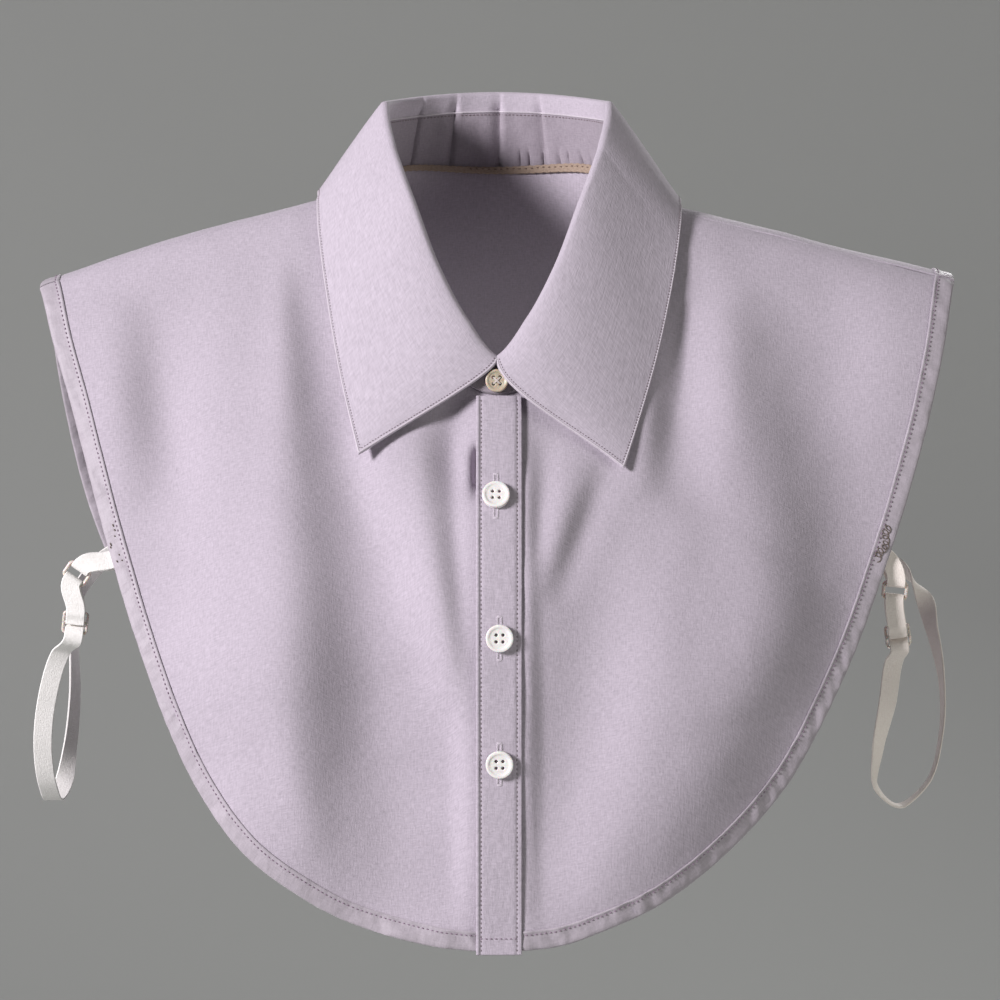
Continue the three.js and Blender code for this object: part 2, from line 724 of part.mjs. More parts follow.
buttons.forEach(({ drop, aside }, index) => {
  const lap = frontLap(aside, -drop);
  const direction = outward(aside, lap);
  const seat = placketLift + placketThickness / 2 + gap;
  const at = body(aside, lap).addScaledVector(direction, seat);
  addButton("front_button_" + (index + 1), buttonDiameter, shell, at, direction);
});
{
  const low = standPoint(left, 180, 0);
  const high = standPoint(left, 180, 1);
  const up = high.clone().sub(low).normalize();
  const direction = new THREE.Vector3(1, 0, 0).cross(up).negate().normalize();
  if (direction.y > 0) direction.negate();
  const at = low
    .addScaledVector(up, (-collarButtonDrop - low.z) / up.z)
    .addScaledVector(direction, standThickness / 2 + gap);
  addButton("collar_button", collarButtonDiameter, horn, at, direction);
}

// Straps: on each side a tab sewn behind the front edge holds a ring, and the strap runs from the
// slider through the ring, back through the slider, down in a loop and up to the back edge.

// Share along an edge curve at which it has come down by drop
function shareAtDrop(curve, drop) {
  let low = 0;
  let high = 1;
  for (let i = 0; i < 30; i++) {
    const middle = (low + high) / 2;
    const place = curve.getPoint(middle);
    if (ridge(place.x) - place.y ** 2 > -drop) low = middle;
    else high = middle;
  }
  return low;
}

// A strap along sections that each have a middle point and a direction across
function ribbon(sections) {
  const grid = sections.map(({ at, across }, i) => {
    const next = sections[Math.min(i + 1, sections.length - 1)].at;
    const along = next.clone().sub(sections[Math.max(i - 1, 0)].at).normalize();
    const flat = across.clone().addScaledVector(along, -across.dot(along)).normalize();
    return [-0.5, 0.5].map((part) => at.clone().addScaledVector(flat, part * strapWidth));
  });
  return sheet(grid, strapThickness);
}

// A round wire bent to a closed loop in the plane of two directions
function wireLoop(centre, across, up) {
  const normal = across.clone().cross(up);
  const sections = 16;
  const sides = 6;
  const corner = 0.8 * ringWire;
  const width = strapWidth + ringPlay + ringWire;
  const points = [];
  for (let i = 0; i < sections; i++) {
    const angle = (360 * (i + 0.5)) / sections;
    const bend = new THREE.Vector3()
      .addScaledVector(across, cosine(angle))
      .addScaledVector(up, sine(angle));
    const middle = centre
      .clone()
      .addScaledVector(across, Math.sign(cosine(angle)) * (width / 2 - corner))
      .addScaledVector(up, Math.sign(sine(angle)) * (ringHeight / 2 - corner))
      .addScaledVector(bend, corner);
    for (let j = 0; j < sides; j++) {
      const around = (360 * j) / sides;
      points.push(
        middle
          .clone()
          .addScaledVector(bend, (ringWire / 2) * cosine(around))
          .addScaledVector(normal, (ringWire / 2) * sine(around)),
      );
    }
  }
  const triangles = [];
  for (let i = 0; i < sections; i++) {
    for (let j = 0; j < sides; j++) {
      const here = i * sides;
      const next = ((i + 1) % sections) * sides;
      const k = (j + 1) % sides;
      triangles.push(here + j, next + j, next + k, here + j, next + k, here + k);
    }
  }
  return solid(points, triangles);
}

// A slider: a flat frame with three bars
function slider() {
  const halfWidth = strapWidth / 2 + sliderSide + sliderBar / 2;
  const halfHeight = 1.5 * sliderBar + sliderSlot;
  const corner = 0.8 * sliderBar;
  const corners = [
    [-halfWidth, corner - halfHeight],
    [corner - halfWidth, -halfHeight],
    [halfWidth - corner, -halfHeight],
    [halfWidth, corner - halfHeight],
    [halfWidth, halfHeight - corner],
    [halfWidth - corner, halfHeight],
    [corner - halfWidth, halfHeight],
    [-halfWidth, halfHeight - corner],
  ];
  const outline = new THREE.Shape(corners.map(([x, y]) => new THREE.Vector2(x, y)));
  const plate = new THREE.ExtrudeGeometry(outline, { depth: sliderThickness, bevelEnabled: false });
  let frame = manifold(plate.translate(0, 0, -sliderThickness / 2));
  for (const height of [-0.5, 0.5]) {
    const slot = new THREE.BoxGeometry(2 * (halfWidth - sliderBar), sliderSlot, 3 * sliderThickness);
    slot.translate(0, height * (sliderBar + sliderSlot), 0);
    frame = frame.subtract(manifold(slot));
  }
  return cutGeometry(frame);
}

// Two directions in the plane of the picture, turned by an angle, and the direction to the viewer
function flatFrame(angle) {
  return {
    across: new THREE.Vector3(cosine(angle), 0, sine(angle)),
    up: new THREE.Vector3(-sine(angle), 0, cosine(angle)),
    near: new THREE.Vector3(0, -1, 0),
  };
}

for (const side of [left, right]) {
  const { sign } = side;
  const frontShare = shareAtDrop(frontEdgeCurve(sign, 0), strapDrop);
  const backShare = shareAtDrop(backEdgeCurve(sign, 0), strapDropBack);
  const behind = (bindingThickness + strapThickness) / 2 + strapGap;
  const wrap = (ringWire + strapThickness) / 2 + gap;

  // Places on the inner face of the front and the back edge
  const frontInside = (inset, depth, share = frontShare) => {
    const { x, y: lap } = frontEdgeCurve(sign, inset).getPoint(share);
    return frontCloth(x, lap).addScaledVector(outward(x, lap), -depth);
  };
  const backInside = (inset, depth, share = backShare) => {
    const curve = backEdgeCurve(sign, inset);
    const { x, y: lap } = curve.getPoint(share);
    const point = backCloth(sign, curve, (1 - share) * seamTurn, 1);
    return point.addScaledVector(outward(x, lap), -depth);
  };

  const ring = flatFrame(side.ringTurn);
  const sewn = frontInside(0, behind + wrap);
  const ringAt = sewn.clone().add(new THREE.Vector3(sign * side.ringOut, 0, -side.ringDown));
  add("strap_ring_" + side.name, wireLoop(ringAt, ring.across, ring.up), nylon);

  // Turn of a strap around a bar of the ring: from the near side to the far side
  const turnRound = (bar, inward) =>
    [0, 45, 90, 135, 180].map((angle) =>
      ringAt
        .clone()
        .addScaledVector(ring.up, bar * (ringHeight / 2))
        .addScaledVector(ring.near, wrap * cosine(angle))
        .addScaledVector(ring.up, inward * wrap * sine(angle)),
    );

  const edgeAlong = frontInside(0, behind, frontShare - 0.01)
    .sub(frontInside(0, behind, frontShare + 0.01))
    .normalize();
  const tabOver = turnRound(1, -1);
  const tabSections = [
    { at: frontInside(strapLap, behind), across: edgeAlong },
    { at: frontInside(0, behind), across: edgeAlong },
    ...tabOver.map((at) => ({ at, across: ring.across.clone().multiplyScalar(sign) })),
    { at: frontInside(-1, behind + 2 * wrap), across: edgeAlong },
  ];
  add("strap_tab_" + side.name, ribbon(tabSections), paint(side.strapColour, 0.7));

  const lie = flatFrame(side.sliderTurn);
  const sliderAt = sewn
    .clone()
    .add(new THREE.Vector3(sign * side.sliderOut, wrap, -side.sliderDown));
  const sliderMesh = add("strap_slider_" + side.name, slider(), nylon);
  sliderMesh.setRotationFromMatrix(new THREE.Matrix4().makeBasis(lie.across, lie.up, lie.near));
  sliderMesh.position.copy(sliderAt);

  // The strap weaves through the slider: in front of the outer bars and behind the middle one
  const pitch = sliderBar + sliderSlot;
  const layer = (sliderThickness + strapThickness) / 2 + gap;
  const through = (height, depth) => ({
    at: sliderAt
      .clone()
      .addScaledVector(lie.up, height)
      .addScaledVector(lie.near, depth),
    across: lie.across,
  });
  const outerLayer = layer + strapThickness + gap;
  const overRing = turnRound(-1, 1).map((at) => ({ at, across: ring.across }));
  const start = frontInside(0, behind);
  const end = backInside(0, behind);
  const looped = side.loop.map(({ out, back: share, down, turn, tilt }) => ({
    at: start
      .clone()
      .lerp(end, share)
      .add(new THREE.Vector3(sign * out * strapSwing, 0, -down * loopDrop)),
    across: new THREE.Vector3(cosine(turn) * cosine(tilt), sine(turn) * cosine(tilt), sine(tilt)),
  }));
  const backAlong = backInside(0, behind, backShare + 0.01)
    .sub(backInside(0, behind, backShare - 0.01))
    .multiplyScalar(-sign)
    .normalize();
  const tail = [
    through(-pitch - sliderBar, layer),
    ...looped,
    { at: backInside(-2, behind), across: backAlong },
    { at: backInside(0, behind), across: backAlong },
    { at: backInside(strapLap, behind), across: backAlong },
  ];
  const path = new THREE.CatmullRomCurve3(tail.map(({ at }) => at));
  const tailSteps = 2 * (tail.length - 1);
  const smoothTail = steps(tailSteps, (share) => {
    const place = share * (tail.length - 1);
    const row = Math.min(Math.floor(place), tail.length - 2);
    return {
      at: path.getPoint(share),
      across: tail[row].across.clone().lerp(tail[row + 1].across, place - row),
    };
  });
  const strapSections = [
    through(-sliderBar / 2, layer),
    through(sliderBar, layer),
    through(pitch - sliderBar / 2, outerLayer),
    through(pitch + sliderBar / 2, outerLayer),
    ...overRing,
    through(pitch + sliderBar / 2, layer),
    through(pitch - sliderBar / 2, layer),
    through(sliderBar / 2, -layer),
    through(-sliderBar / 2, -layer),
    through(-pitch + sliderBar / 2, layer),
    ...smoothTail,
  ];
  add("strap_" + side.name, ribbon(strapSections), paint(side.strapColour, 0.7));
}

export default group;
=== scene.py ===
import math
from functools import partial

import bpy
import numpy as np
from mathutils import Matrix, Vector, noise
from mathutils.geometry import delaunay_2d_cdt


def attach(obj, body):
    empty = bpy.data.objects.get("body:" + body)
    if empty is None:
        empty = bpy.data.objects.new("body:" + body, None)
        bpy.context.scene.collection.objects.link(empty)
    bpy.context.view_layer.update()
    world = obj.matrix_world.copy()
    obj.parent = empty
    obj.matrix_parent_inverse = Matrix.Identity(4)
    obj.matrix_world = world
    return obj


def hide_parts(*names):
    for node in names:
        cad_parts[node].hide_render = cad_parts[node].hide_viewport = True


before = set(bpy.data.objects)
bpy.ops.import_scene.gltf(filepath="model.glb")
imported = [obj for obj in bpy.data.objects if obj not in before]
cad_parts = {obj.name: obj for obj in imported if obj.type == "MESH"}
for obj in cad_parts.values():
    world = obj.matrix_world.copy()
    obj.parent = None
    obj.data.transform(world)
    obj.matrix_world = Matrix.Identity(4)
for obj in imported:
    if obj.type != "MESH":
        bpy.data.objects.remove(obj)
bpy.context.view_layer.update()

# Shirting
# The cloth of the whole piece is a fine plain-woven cotton in pale lilac grey. Its yarns are
# slightly uneven, which gives the surface a soft crossed grain and a faint dry sheen.

MM = 0.001  # every size below is in millimetres, and becomes metres where a mesh is made


class Socket:
    """A shader socket, on which sums and products add Math nodes."""

    def __init__(self, tree, out=None):
        self.tree = tree
        self.out = out

    def node(self, kind, settings=(), inputs=(), output=0):
        made = self.tree.nodes.new(kind)
        for name, value in dict(settings).items():
            setattr(made, name, value)
        for name, value in dict(inputs).items():
            if isinstance(value, Socket):
                self.tree.links.new(value.out, made.inputs[name])
            else:
                made.inputs[name].default_value = value
        return Socket(self.tree, made.outputs[output])

    def maths(self, operation, first, second):
        return self.node("ShaderNodeMath", {"operation": operation}, {0: first, 1: second})

    def __add__(self, other):
        return self.maths("ADD", self, other)

    def __radd__(self, other):
        return self.maths("ADD", other, self)

    def __sub__(self, other):
        return self.maths("SUBTRACT", self, other)

    def __rsub__(self, other):
        return self.maths("SUBTRACT", other, self)

    def __mul__(self, other):
        return self.maths("MULTIPLY", self, other)

    def __rmul__(self, other):
        return self.maths("MULTIPLY", other, self)

    def between(self, first, second):
        """The mix of two colours by this factor."""
        inputs = {0: self, 6: first, 7: second}
        return self.node("ShaderNodeMix", {"data_type": "RGBA"}, inputs, 2)

    def stretched(self, along, across):
        """Fine noise on flat cloth, with so many turns to the metre each way."""
        scale = {0: self, 1: (along, across, 1)}
        place = self.node("ShaderNodeVectorMath", {"operation": "MULTIPLY"}, scale)
        settings = {"noise_dimensions": "2D"}
        inputs = {"Vector": place, "Scale": 1, "Detail": 2, "Roughness": 0.6}
        return self.node("ShaderNodeTexNoise", settings, inputs)


def tint(red, green, blue):
    """A colour given by what a picture shows, from 0 to 255."""
    shown = [value / 255 for value in (red, green, blue)]
    return (*[s / 12.92 if s < 0.04 else ((s + 0.055) / 1.055) ** 2.4 for s in shown], 1)


def finish(name, colour, roughness, height, depth, **shader):
    """A material from functions of its flat cloth coordinates and of its object coordinates."""
    material = bpy.data.materials.new(name)
    material.use_nodes = True
    surface = material.node_tree.nodes["Principled BSDF"]
    for socket, value in shader.items():
        surface.inputs[socket.replace("_", " ")].default_value = value
    start = Socket(material.node_tree)
    flat = start.node("ShaderNodeUVMap", {"uv_map": "cloth"})
    place = start.node("ShaderNodeTexCoord", output=3)
    bump = start.node(
        "ShaderNodeBump", inputs={"Height": height(flat, place), "Distance": depth, "Strength": 1}
    )
    for socket, value in {
        "Base Color": colour(flat, place),
        "Roughness": roughness(flat, place),
        "Normal": bump,
    }.items():
        material.node_tree.links.new(value.out, surface.inputs[socket])
    return material


yarn_width = 1500  # turns of the slubs to the metre across a yarn
yarn_length = 330  # and along it
cloud_turns = 26  # turns to the metre of the slow changes in shade
dark_share = 0.78  # darkest part of a cloth as a share of its shade
light_share = 1.13
slub_depth = 0.00022


def shaded(shade, share):
    return tuple(min(1, channel * share) for channel in shade[:3]) + (1,)


def shirting(name, shade, grain=1.0, gloss=0.0, wrinkles=0.0):
    """Plain weave in one shade: slubs along both yarns, and slow changes over the cloth."""

    def yarns(flat):
        crossed = flat.stretched(yarn_length, yarn_width) * 0.5
        return flat.stretched(yarn_width, yarn_length) * 0.5 + crossed

    def colour(flat, place):
        inputs = {"Vector": place, "Scale": cloud_turns, "Detail": 2}
        cloud = place.node("ShaderNodeTexNoise", (), inputs)
        factor = 0.5 + (yarns(flat) - 0.5) * 1.9 * grain + (cloud - 0.5) * 0.35
        return factor.between(shaded(shade, dark_share), shaded(shade, light_share))

    def roughness(flat, place):
        return 0.9 - gloss + (yarns(flat) - 0.5) * 0.25

    def height(flat, place):
        return yarns(flat) + flat.stretched(90, 90) * 0.4 + flat.stretched(110, 70) * wrinkles

    return finish(
        name,
        colour,
        roughness,
        height,
        slub_depth * grain,
        Sheen_Weight=0.22,
        Sheen_Roughness=0.45,
        Specular_IOR_Level=0.25,
    )


bib_cotton = shirting("bib_cotton", tint(186, 177, 188))

# Front bibs
# Two halves cut from single cloth, which lie over the chest from the shoulder seams down. They
# hang in soft folds from the collar and the shoulders, drawn in a little along every seam.

shoulder_half = 196.5  # middle of the neck to the end of the shoulder
shoulder_drop_left = 41.2  # neck point down to the end of the shoulder
shoulder_drop_right = 38.2
shoulder_lean = 4.5  # how much lower the right shoulder lies between its ends
bib_length = 316.3  # neck point down to the lowest edge of the front
bib_thickness = 0.9
binding_width = 8
ridge_round = 20  # how gently the shoulder line rounds off towards the neck
ridge_curl = 0.1  # share of the shoulder's fall that comes towards its end
neck_point = 46.2  # middle out to where the shoulders are level with the origin
shoulder_depth = 26  # ridge of the shoulder to the flat of the chest
shoulder_fall = 22  # drop over which the shoulder rounds over
chest_depth = 95  # ridge of the shoulder forward to the fullest part of the chest
chest_fall = 200
blade_depth = 88  # ridge of the shoulder back to the shoulder blades
blade_fall = 110
chest_round = 0.42  # share of the chest's fullness that is lost at the ends of the shoulders
blade_round = 0.3
neck_half = 55  # middle to the side of the neckline
neck_front = 86.3  # neck point down to the neckline at the front
placket_left = 8.2  # middle out to the left edge of the placket
placket_right = 10


def table(columns, *rows):
    """Rows of values as dictionaries, by the names of the columns."""
    return [dict(zip(columns.split(), row)) for row in rows]


# Edge of the front from the end of the shoulder to the middle, below the shoulder seam: down as a
# share of the length, left and right as shares of the half width.
front_edge = table(
    "down left right",
    (0.2, 0.968, 0.975),
    (0.3, 0.918, 0.939),
    (0.4, 0.872, 0.893),
    (0.5, 0.823, 0.838),
    (0.6, 0.768, 0.774),
    (0.7, 0.707, 0.698),
    (0.79, 0.637, 0.615),
    (0.87, 0.538, 0.495),
    (0.93, 0.407, 0.367),
    (0.967, 0.289, 0.242),
    (0.992, 0.125, 0.125),
    (1, 0, 0),
)

# Folds from (x0, z0) to (x1, z1), as shares of the half width and the length. rise is the slope of
# the cloth across the fold, from left to right, and negative where it falls away. bow and the
# widths w0 and w1 at the two ends are shares of the half width.
folds = table(
    "x0 z0 x1 z1 bow w0 w1 rise",
    (-0.443, 0.098, -0.322, 0.981, 0.02, 0.05, 0.23, -0.76),
    (-0.452, 0.083, -0.414, 0.382, 0, 0.03, 0.05, -0.2),
    (-0.307, 0.31, -0.044, 0.79, 0.01, 0.06, 0.07, 0.3),
    (-0.142, 0.31, -0.061, 0.671, 0, 0.055, 0.045, -0.6),
    (-0.619, 0.076, -0.662, 0.75, 0, 0.08, 0.12, 0.24),
    (-0.796, 0.133, -0.75, 0.434, 0, 0.07, 0.09, -0.4),
    (-0.477, 0.691, -0.418, 0.882, 0, 0.06, 0.06, 0.2),
    (0.134, 0.33, 0.091, 0.493, 0, 0.035, 0.035, 0.3),
    (0.221, 0.346, 0.102, 0.539, 0, 0.04, 0.035, -0.5),
    (0.336, 0.408, 0.125, 0.968, 0.02, 0.16, 0.1, 0.36),
    (0.465, 0.089, 0.456, 0.434, 0, 0.07, 0.07, 0.3),
    (0.372, 0.145, 0.336, 0.408, 0, 0.05, 0.05, -0.6),
    (0.541, 0.145, 0.71, 0.671, 0.02, 0.1, 0.18, -0.36),
    (0.696, 0.513, 0.282, 0.981, 0.05, 0.14, 0.14, -0.42),
    (0.771, 0.089, 0.813, 0.343, 0, 0.12, 0.12, 0.15),
)
fold_fade = 12  # distance over which folds rise beside the placket

# Hollows close beside the button band, behind its left edge and all along its right one: middle,
# half sizes and depth, which is negative where the cloth rises again.
hollows = table(
    "x width z height depth",
    (-8.3, 2.1, -117, 9, 8),
    (10.7, 0.6, -215, 100, 0.5),
    (-17, 12, -106, 21, 4.5),
    (18, 11, -102, 16, 1.4),
    (13.2, 3, -215, 110, -1.2),
)


def lerp(first, second, share):
    return first + (second - first) * share


def ease(value, low, high):
    share = min(max((value - low) / (high - low), 0), 1)
    return share * share * (3 - 2 * share)


def sine(degrees):
    return math.sin(math.radians(degrees))


def cosine(degrees):
    return math.cos(math.radians(degrees))


neck_span = math.hypot(neck_point, ridge_round)
ridge_span = math.hypot(shoulder_half, ridge_round) - neck_span


def ridge(x):
    """Height of the shoulder's ridge."""
    share = (math.hypot(x, ridge_round) - neck_span) / ridge_span
    drop = lerp(shoulder_drop_left, shoulder_drop_right, x / shoulder_half / 2 + 0.5)
    across = x / shoulder_half
    fall = (1 - ridge_curl) * share + ridge_curl * max(share, 0) ** 3
    return -drop * fall - shoulder_lean * across * (1 - across**2)


def body(x, lap):
    """Point of the form underneath. lap is the square root of the drop below the ridge, negative in
    front of it, so that even steps of it run smoothly over the shoulder."""
    drop = lap * lap
    front = lap < 0
    depth = chest_depth if front else blade_depth
    fall = chest_fall if front else blade_fall
    roundness = chest_round if front else blade_round
    shoulder = shoulder_depth * math.sqrt(1 - math.exp(-drop / shoulder_fall))
    fullness = depth * (1 - roundness * (x / shoulder_half) ** 2) - shoulder_depth
    y = shoulder + fullness * ease(drop, 0, fall)
    return Vector((x, math.copysign(y, lap), ridge(x) - drop))


def outward(x, lap):
    """Direction out of the form underneath."""
    step = 0.01
    across = body(x + step, lap) - body(x - step, lap)
    down = body(x, lap + step) - body(x, lap - step)
    return across.cross(down).normalized()


def front_lap(x, z):
    """lap of the place on the front at a height z."""
    return -math.sqrt(max(ridge(x) - z, 0))


def still_by_placket(x):
    """Share that folds and rumples have, from none at the placket to all of it further out."""
    return ease(abs(x), placket_left, placket_left + fold_fade)


def fold_height(x, z):
    """How far the folds raise the cloth forwards."""
    height = 0
    for fold in folds:
        start = Vector((fold["x0"] * shoulder_half, -fold["z0"] * bib_length))
        line = Vector((fold["x1"] * shoulder_half, -fold["z1"] * bib_length)) - start
        spot = Vector((x, z)) - start
        share = spot.dot(line) / line.length_squared
        if not 0 < share < 1:
            continue
        swell = math.sin(math.pi * share)
        width = lerp(fold["w0"], fold["w1"], share) * shoulder_half
        aside = line.cross(spot) / line.length
        across = aside / width - fold["bow"] * swell * shoulder_half / width
        height += fold["rise"] * width * across * math.exp(-(across**2)) * swell**0.7
    return height * still_by_placket(x)


def rumple(point, size, height):
    """Slow unevenness of hanging cloth."""
    return height * noise.noise(point / size)


def hollow_depth(x, z):
    depth = 0
    for hollow in hollows:
        aside = (x - hollow["x"]) / hollow["width"]
        along = (z - hollow["z"]) / hollow["height"]
        depth += hollow["depth"] * math.exp(-(aside**2) - along**4)
    return depth


pucker_reach = 9  # edge of a bib in to where its puckers have died away
pucker_size = 5
pucker_height = 0.5
cloth_sink = 0.25  # how far the cloth lies inside the form on the whole
front_rumples = [(34, 0.9), (13, 0.22)]  # size and height of each


def unevenness(point, inset, rumples):
    """How far hanging cloth stands off its form at a distance inset from its edge."""
    puckers = rumple(point, pucker_size, pucker_height) * math.exp(-((inset / pucker_reach) ** 2))
    return sum(rumple(point, size, height) for size, height in rumples) + puckers - cloth_sink


def front_cloth(x, lap, inset):
    """Point of the front at a distance inset from its edge."""
    point = body(x, lap)
    stand_off = unevenness(point, inset, front_rumples) * still_by_placket(x)
    point.y += hollow_depth(x, point.z) - fold_height(x, point.z)
    return point + outward(x, lap) * stand_off


def along_curve(places, share):
    """Point of a smooth curve through places, which are evenly spaced in share."""
    last = len(places) - 1
    at = share * last
    first = min(max(int(math.floor(at)), 0), last - 1)
    t = at - first
    b, c = places[first], places[first + 1]
    a = places[max(first - 1, 0)]
    d = places[min(first + 2, last)]
    bend = (b * 2 - c * 2 + (c - a) / 2 + (d - b) / 2) * t**3
    turn = (c * 3 - b * 3 - (c - a) - (d - b) / 2) * t**2
    return bend + turn + (c - a) / 2 * t + b


def edge_places(sign, rows, length, inset, first_lap, facing):
    """Places (x, lap) down the edge of a bib, moved inwards by inset."""
    half = shoulder_half - inset
    places = [Vector((sign * half, first_lap))]
    for row in rows:
        x = sign * row["left" if sign < 0 else "right"] * half
        lap = facing * math.sqrt(ridge(x) + row["down"] * (length - inset))
        places.append(Vector((x, lap)))
    return places


seam_drop = 2.2  # ridge of the shoulder down to the seam, on the front
seam_lap = math.sqrt(seam_drop)
neck_lap = math.sqrt(ridge(0) + neck_front)
nape_lap = 1.5
seam_turn = 90 + math.degrees(math.asin(seam_lap / neck_lap))
hairline = 0.3


def front_edge_places(sign, inset):
    return edge_places(sign, front_edge, bib_length, inset, -seam_lap, -1)


def neck_place(sign, turn):
    """Place of the neckline at a turn round the neck, from the back (0) to the front (180)."""
    reach = neck_lap if turn > 90 else nape_lap
    return Vector((sign * neck_half * sine(turn), cosine(turn) * reach))


def steps(count):
    """Even steps from 0 to 1."""
    return [i / count for i in range(count + 1)]


crease_angle = 50  # edges sharper than this, in degrees, stay sharp


def make_piece(name, points, faces, flat, material, slot, nodes=()):
    """A mesh piece of the collar from points in millimetres, with flat cloth coordinates."""
    mesh = bpy.data.meshes.new(name)
    mesh.from_pydata([Vector(point) * MM for point in points], [], faces)
    layer = mesh.uv_layers.new(name="cloth")
    corners = np.empty(len(mesh.loops), dtype=np.int64)
    mesh.loops.foreach_get("vertex_index", corners)
    layer.uv.foreach_set("vector", (np.array(flat, dtype=np.float32) * MM)[corners].ravel())
    mesh.shade_smooth()
    mesh.set_sharp_from_angle(angle=math.radians(crease_angle))
    mesh.materials.append(material)
    piece = bpy.data.objects.new(name, mesh)
    bpy.context.scene.collection.objects.link(piece)
    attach(piece, "root")
    if nodes:
        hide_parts(*nodes)
    return piece


rim_share = 0.35  # how far the rim of a sheet stands out, as a share of its thickness


def cloth_sheet(grid, thickness):
    """Points and faces of a closed sheet round a grid on its middle surface, with a soft rim."""
    middle = np.array([[tuple(point) for point in row] for row in grid])
    along = np.gradient(middle, axis=0)
    across = np.gradient(middle, axis=1)
    normal = np.cross(along, across)
    normal /= np.linalg.norm(normal, axis=2, keepdims=True)
    rows, columns = middle.shape[:2]
    near = (middle + normal * thickness / 2).reshape(-1, 3)
    far = (middle - normal * thickness / 2).reshape(-1, 3)
    border = [(0, j) for j in range(columns)] + [(i, columns - 1) for i in range(1, rows)]
    border += [(rows - 1, j) for j in range(columns - 2, -1, -1)]
    border += [(i, 0) for i in range(rows - 2, 0, -1)]
    rim_points = []
    for i, j in border:
        out = np.zeros(3)
        if i in (0, rows - 1):
            out += along[i, j] / np.linalg.norm(along[i, j]) * (-1 if i == 0 else 1)
        if j in (0, columns - 1):
            out += across[i, j] / np.linalg.norm(across[i, j]) * (-1 if j == 0 else 1)
        rim_points.append(middle[i, j] + out / np.linalg.norm(out) * rim_share * thickness)
    count = rows * columns
    faces = []
    for i in range(rows - 1):
        for j in range(columns - 1):
            corners = [i * columns + j, (i + 1) * columns + j]
            corners += [(i + 1) * columns + j + 1, i * columns + j + 1]
            faces.append(corners)
            faces.append([corner + count for corner in reversed(corners)])
    for k, (i, j) in enumerate(border):
        m = (k + 1) % len(border)
        here = i * columns + j
        there = border[m][0] * columns + border[m][1]
        faces.append([here, there, 2 * count + m, 2 * count + k])
        faces.append([2 * count + k, 2 * count + m, there + count, here + count])
    return [*near, *far, *rim_points], faces, border


def sheet_piece(name, grid, thickness, lie, material, slot, nodes=()):
    """A closed sheet whose point (i, j) lies at lie(i, j, point) on the flat cloth."""
    points, faces, border = cloth_sheet(grid, thickness)
    flat = [lie(i, j, point) for i, row in enumerate(grid) for j, point in enumerate(row)]
    columns = len(grid[0])
    rim = [flat[i * columns + j] for i, j in border]
    return make_piece(name, points, faces, flat + flat + rim, material, slot, nodes)


def hanging(i, j, point):
    """Flat place of cloth that hangs with its warp upright."""
    return (point.x, point.z - abs(point.y))


def side_name(sign):
    return "left" if sign < 0 else "right"


tuck = 1.5  # raw edges of the bibs end this far inside the fold of the binding
front_rows = 110  # steps of the mesh round the neck, and from the neck to the edge
front_columns = 80


def front_grid(sign):
    """Rows of points from the neckline out to the raw edge, from the shoulder to the middle."""
    edge = front_edge_places(sign, tuck)
    grid = []
    for share in steps(front_rows):
        start = neck_place(sign, lerp(seam_turn, 180, share))
        end = along_curve(edge, share)
        row = []
        for width in steps(front_columns):
            x, lap = start.lerp(end, width)
            x = sign * max(sign * x, hairline / 2)
            inset = tuck + (body(x, lap) - body(*end)).length
            row.append(front_cloth(x, lap, inset))
        grid.append(row)
    return grid


for sign in (-1, 1):
    name = side_name(sign)
    grid = front_grid(sign)
    node = f"front_panel_{name}"
    title = f"front_bib_{name}"
    panel = sheet_piece(title, grid, bib_thickness, hanging, bib_cotton, "cotton", [node])

# Back bib
# One piece, which comes up over both shoulders to the shoulder seams and rounds the nape. It is
# cut like the front and is joined to it only at those two seams.

back_length = 299
nape_depth = 40  # middle of the neck back to the nape
nape_rise = 6.6  # neck point up to the neckline at the nape
nape_sag = 1.5
nape_ease = 30  # distance over which the nape's form dies away in the back bib
seam_step = hairline * math.sqrt(shoulder_fall) / shoulder_depth
back_turn = seam_turn - math.degrees(seam_step / neck_lap)
back_rumples = [(40, 1.2), (15, 0.25)]
back_rows = 170
back_columns = 70

back_edge = table(
    "down left right",
    (0.15, 0.997, 0.993),
    (0.22, 0.99, 0.983),
    (0.32, 0.975, 0.96),
    (0.44, 0.945, 0.92),
    (0.545, 0.895, 0.868),
    (0.65, 0.82, 0.795),
    (0.75, 0.72, 0.7),
    (0.85, 0.59, 0.575),
    (0.92, 0.445, 0.44),
    (0.97, 0.29, 0.29),
    (0.993, 0.145, 0.145),
    (0.9994, 0.045, 0.045),
    (1, 0, 0),
)


def back_edge_places(sign, inset):
    return edge_places(sign, back_edge, back_length, inset, seam_step - seam_lap, 1)


def neckline(sign, turn):
    """Point of the neckline: on the front it lies on the body, and behind it rounds the nape."""
    x, lap = neck_place(sign, turn)
    if turn > 90:
        return body(x, lap)
    level = lerp(nape_rise, ridge(x), sine(turn) ** 8)
    return Vector((x, nape_depth * cosine(turn) ** 0.9, level + nape_sag * sine(2 * turn) ** 2))


def back_place(sign, edge, turn, width):
    """Place (x, lap) on the back between the neckline (0) and an edge (1)."""
    return neck_place(sign, turn).lerp(along_curve(edge, 1 - turn / seam_turn), width)


def back_form(sign, edge, turn, width):
    """Point of the back bib's smooth form between the neckline (0) and an edge (1)."""
    start_point = body(*neck_place(sign, turn))
    point = body(*back_place(sign, edge, turn, width))
    pull = math.exp(-(point - start_point).length / nape_ease)
    return point + (neckline(sign, turn) - start_point) * pull


def back_cloth(point, normal, inset):
    """The smooth form with the unevenness of hanging cloth."""
    return point + normal * unevenness(point, inset, back_rumples)


def back_side(share):
    """Side and turn round the neck at a share of the way across the back, from the left."""
    sign = -1 if share < 0.5 else 1
    return sign, abs(2 * share - 1) * back_turn


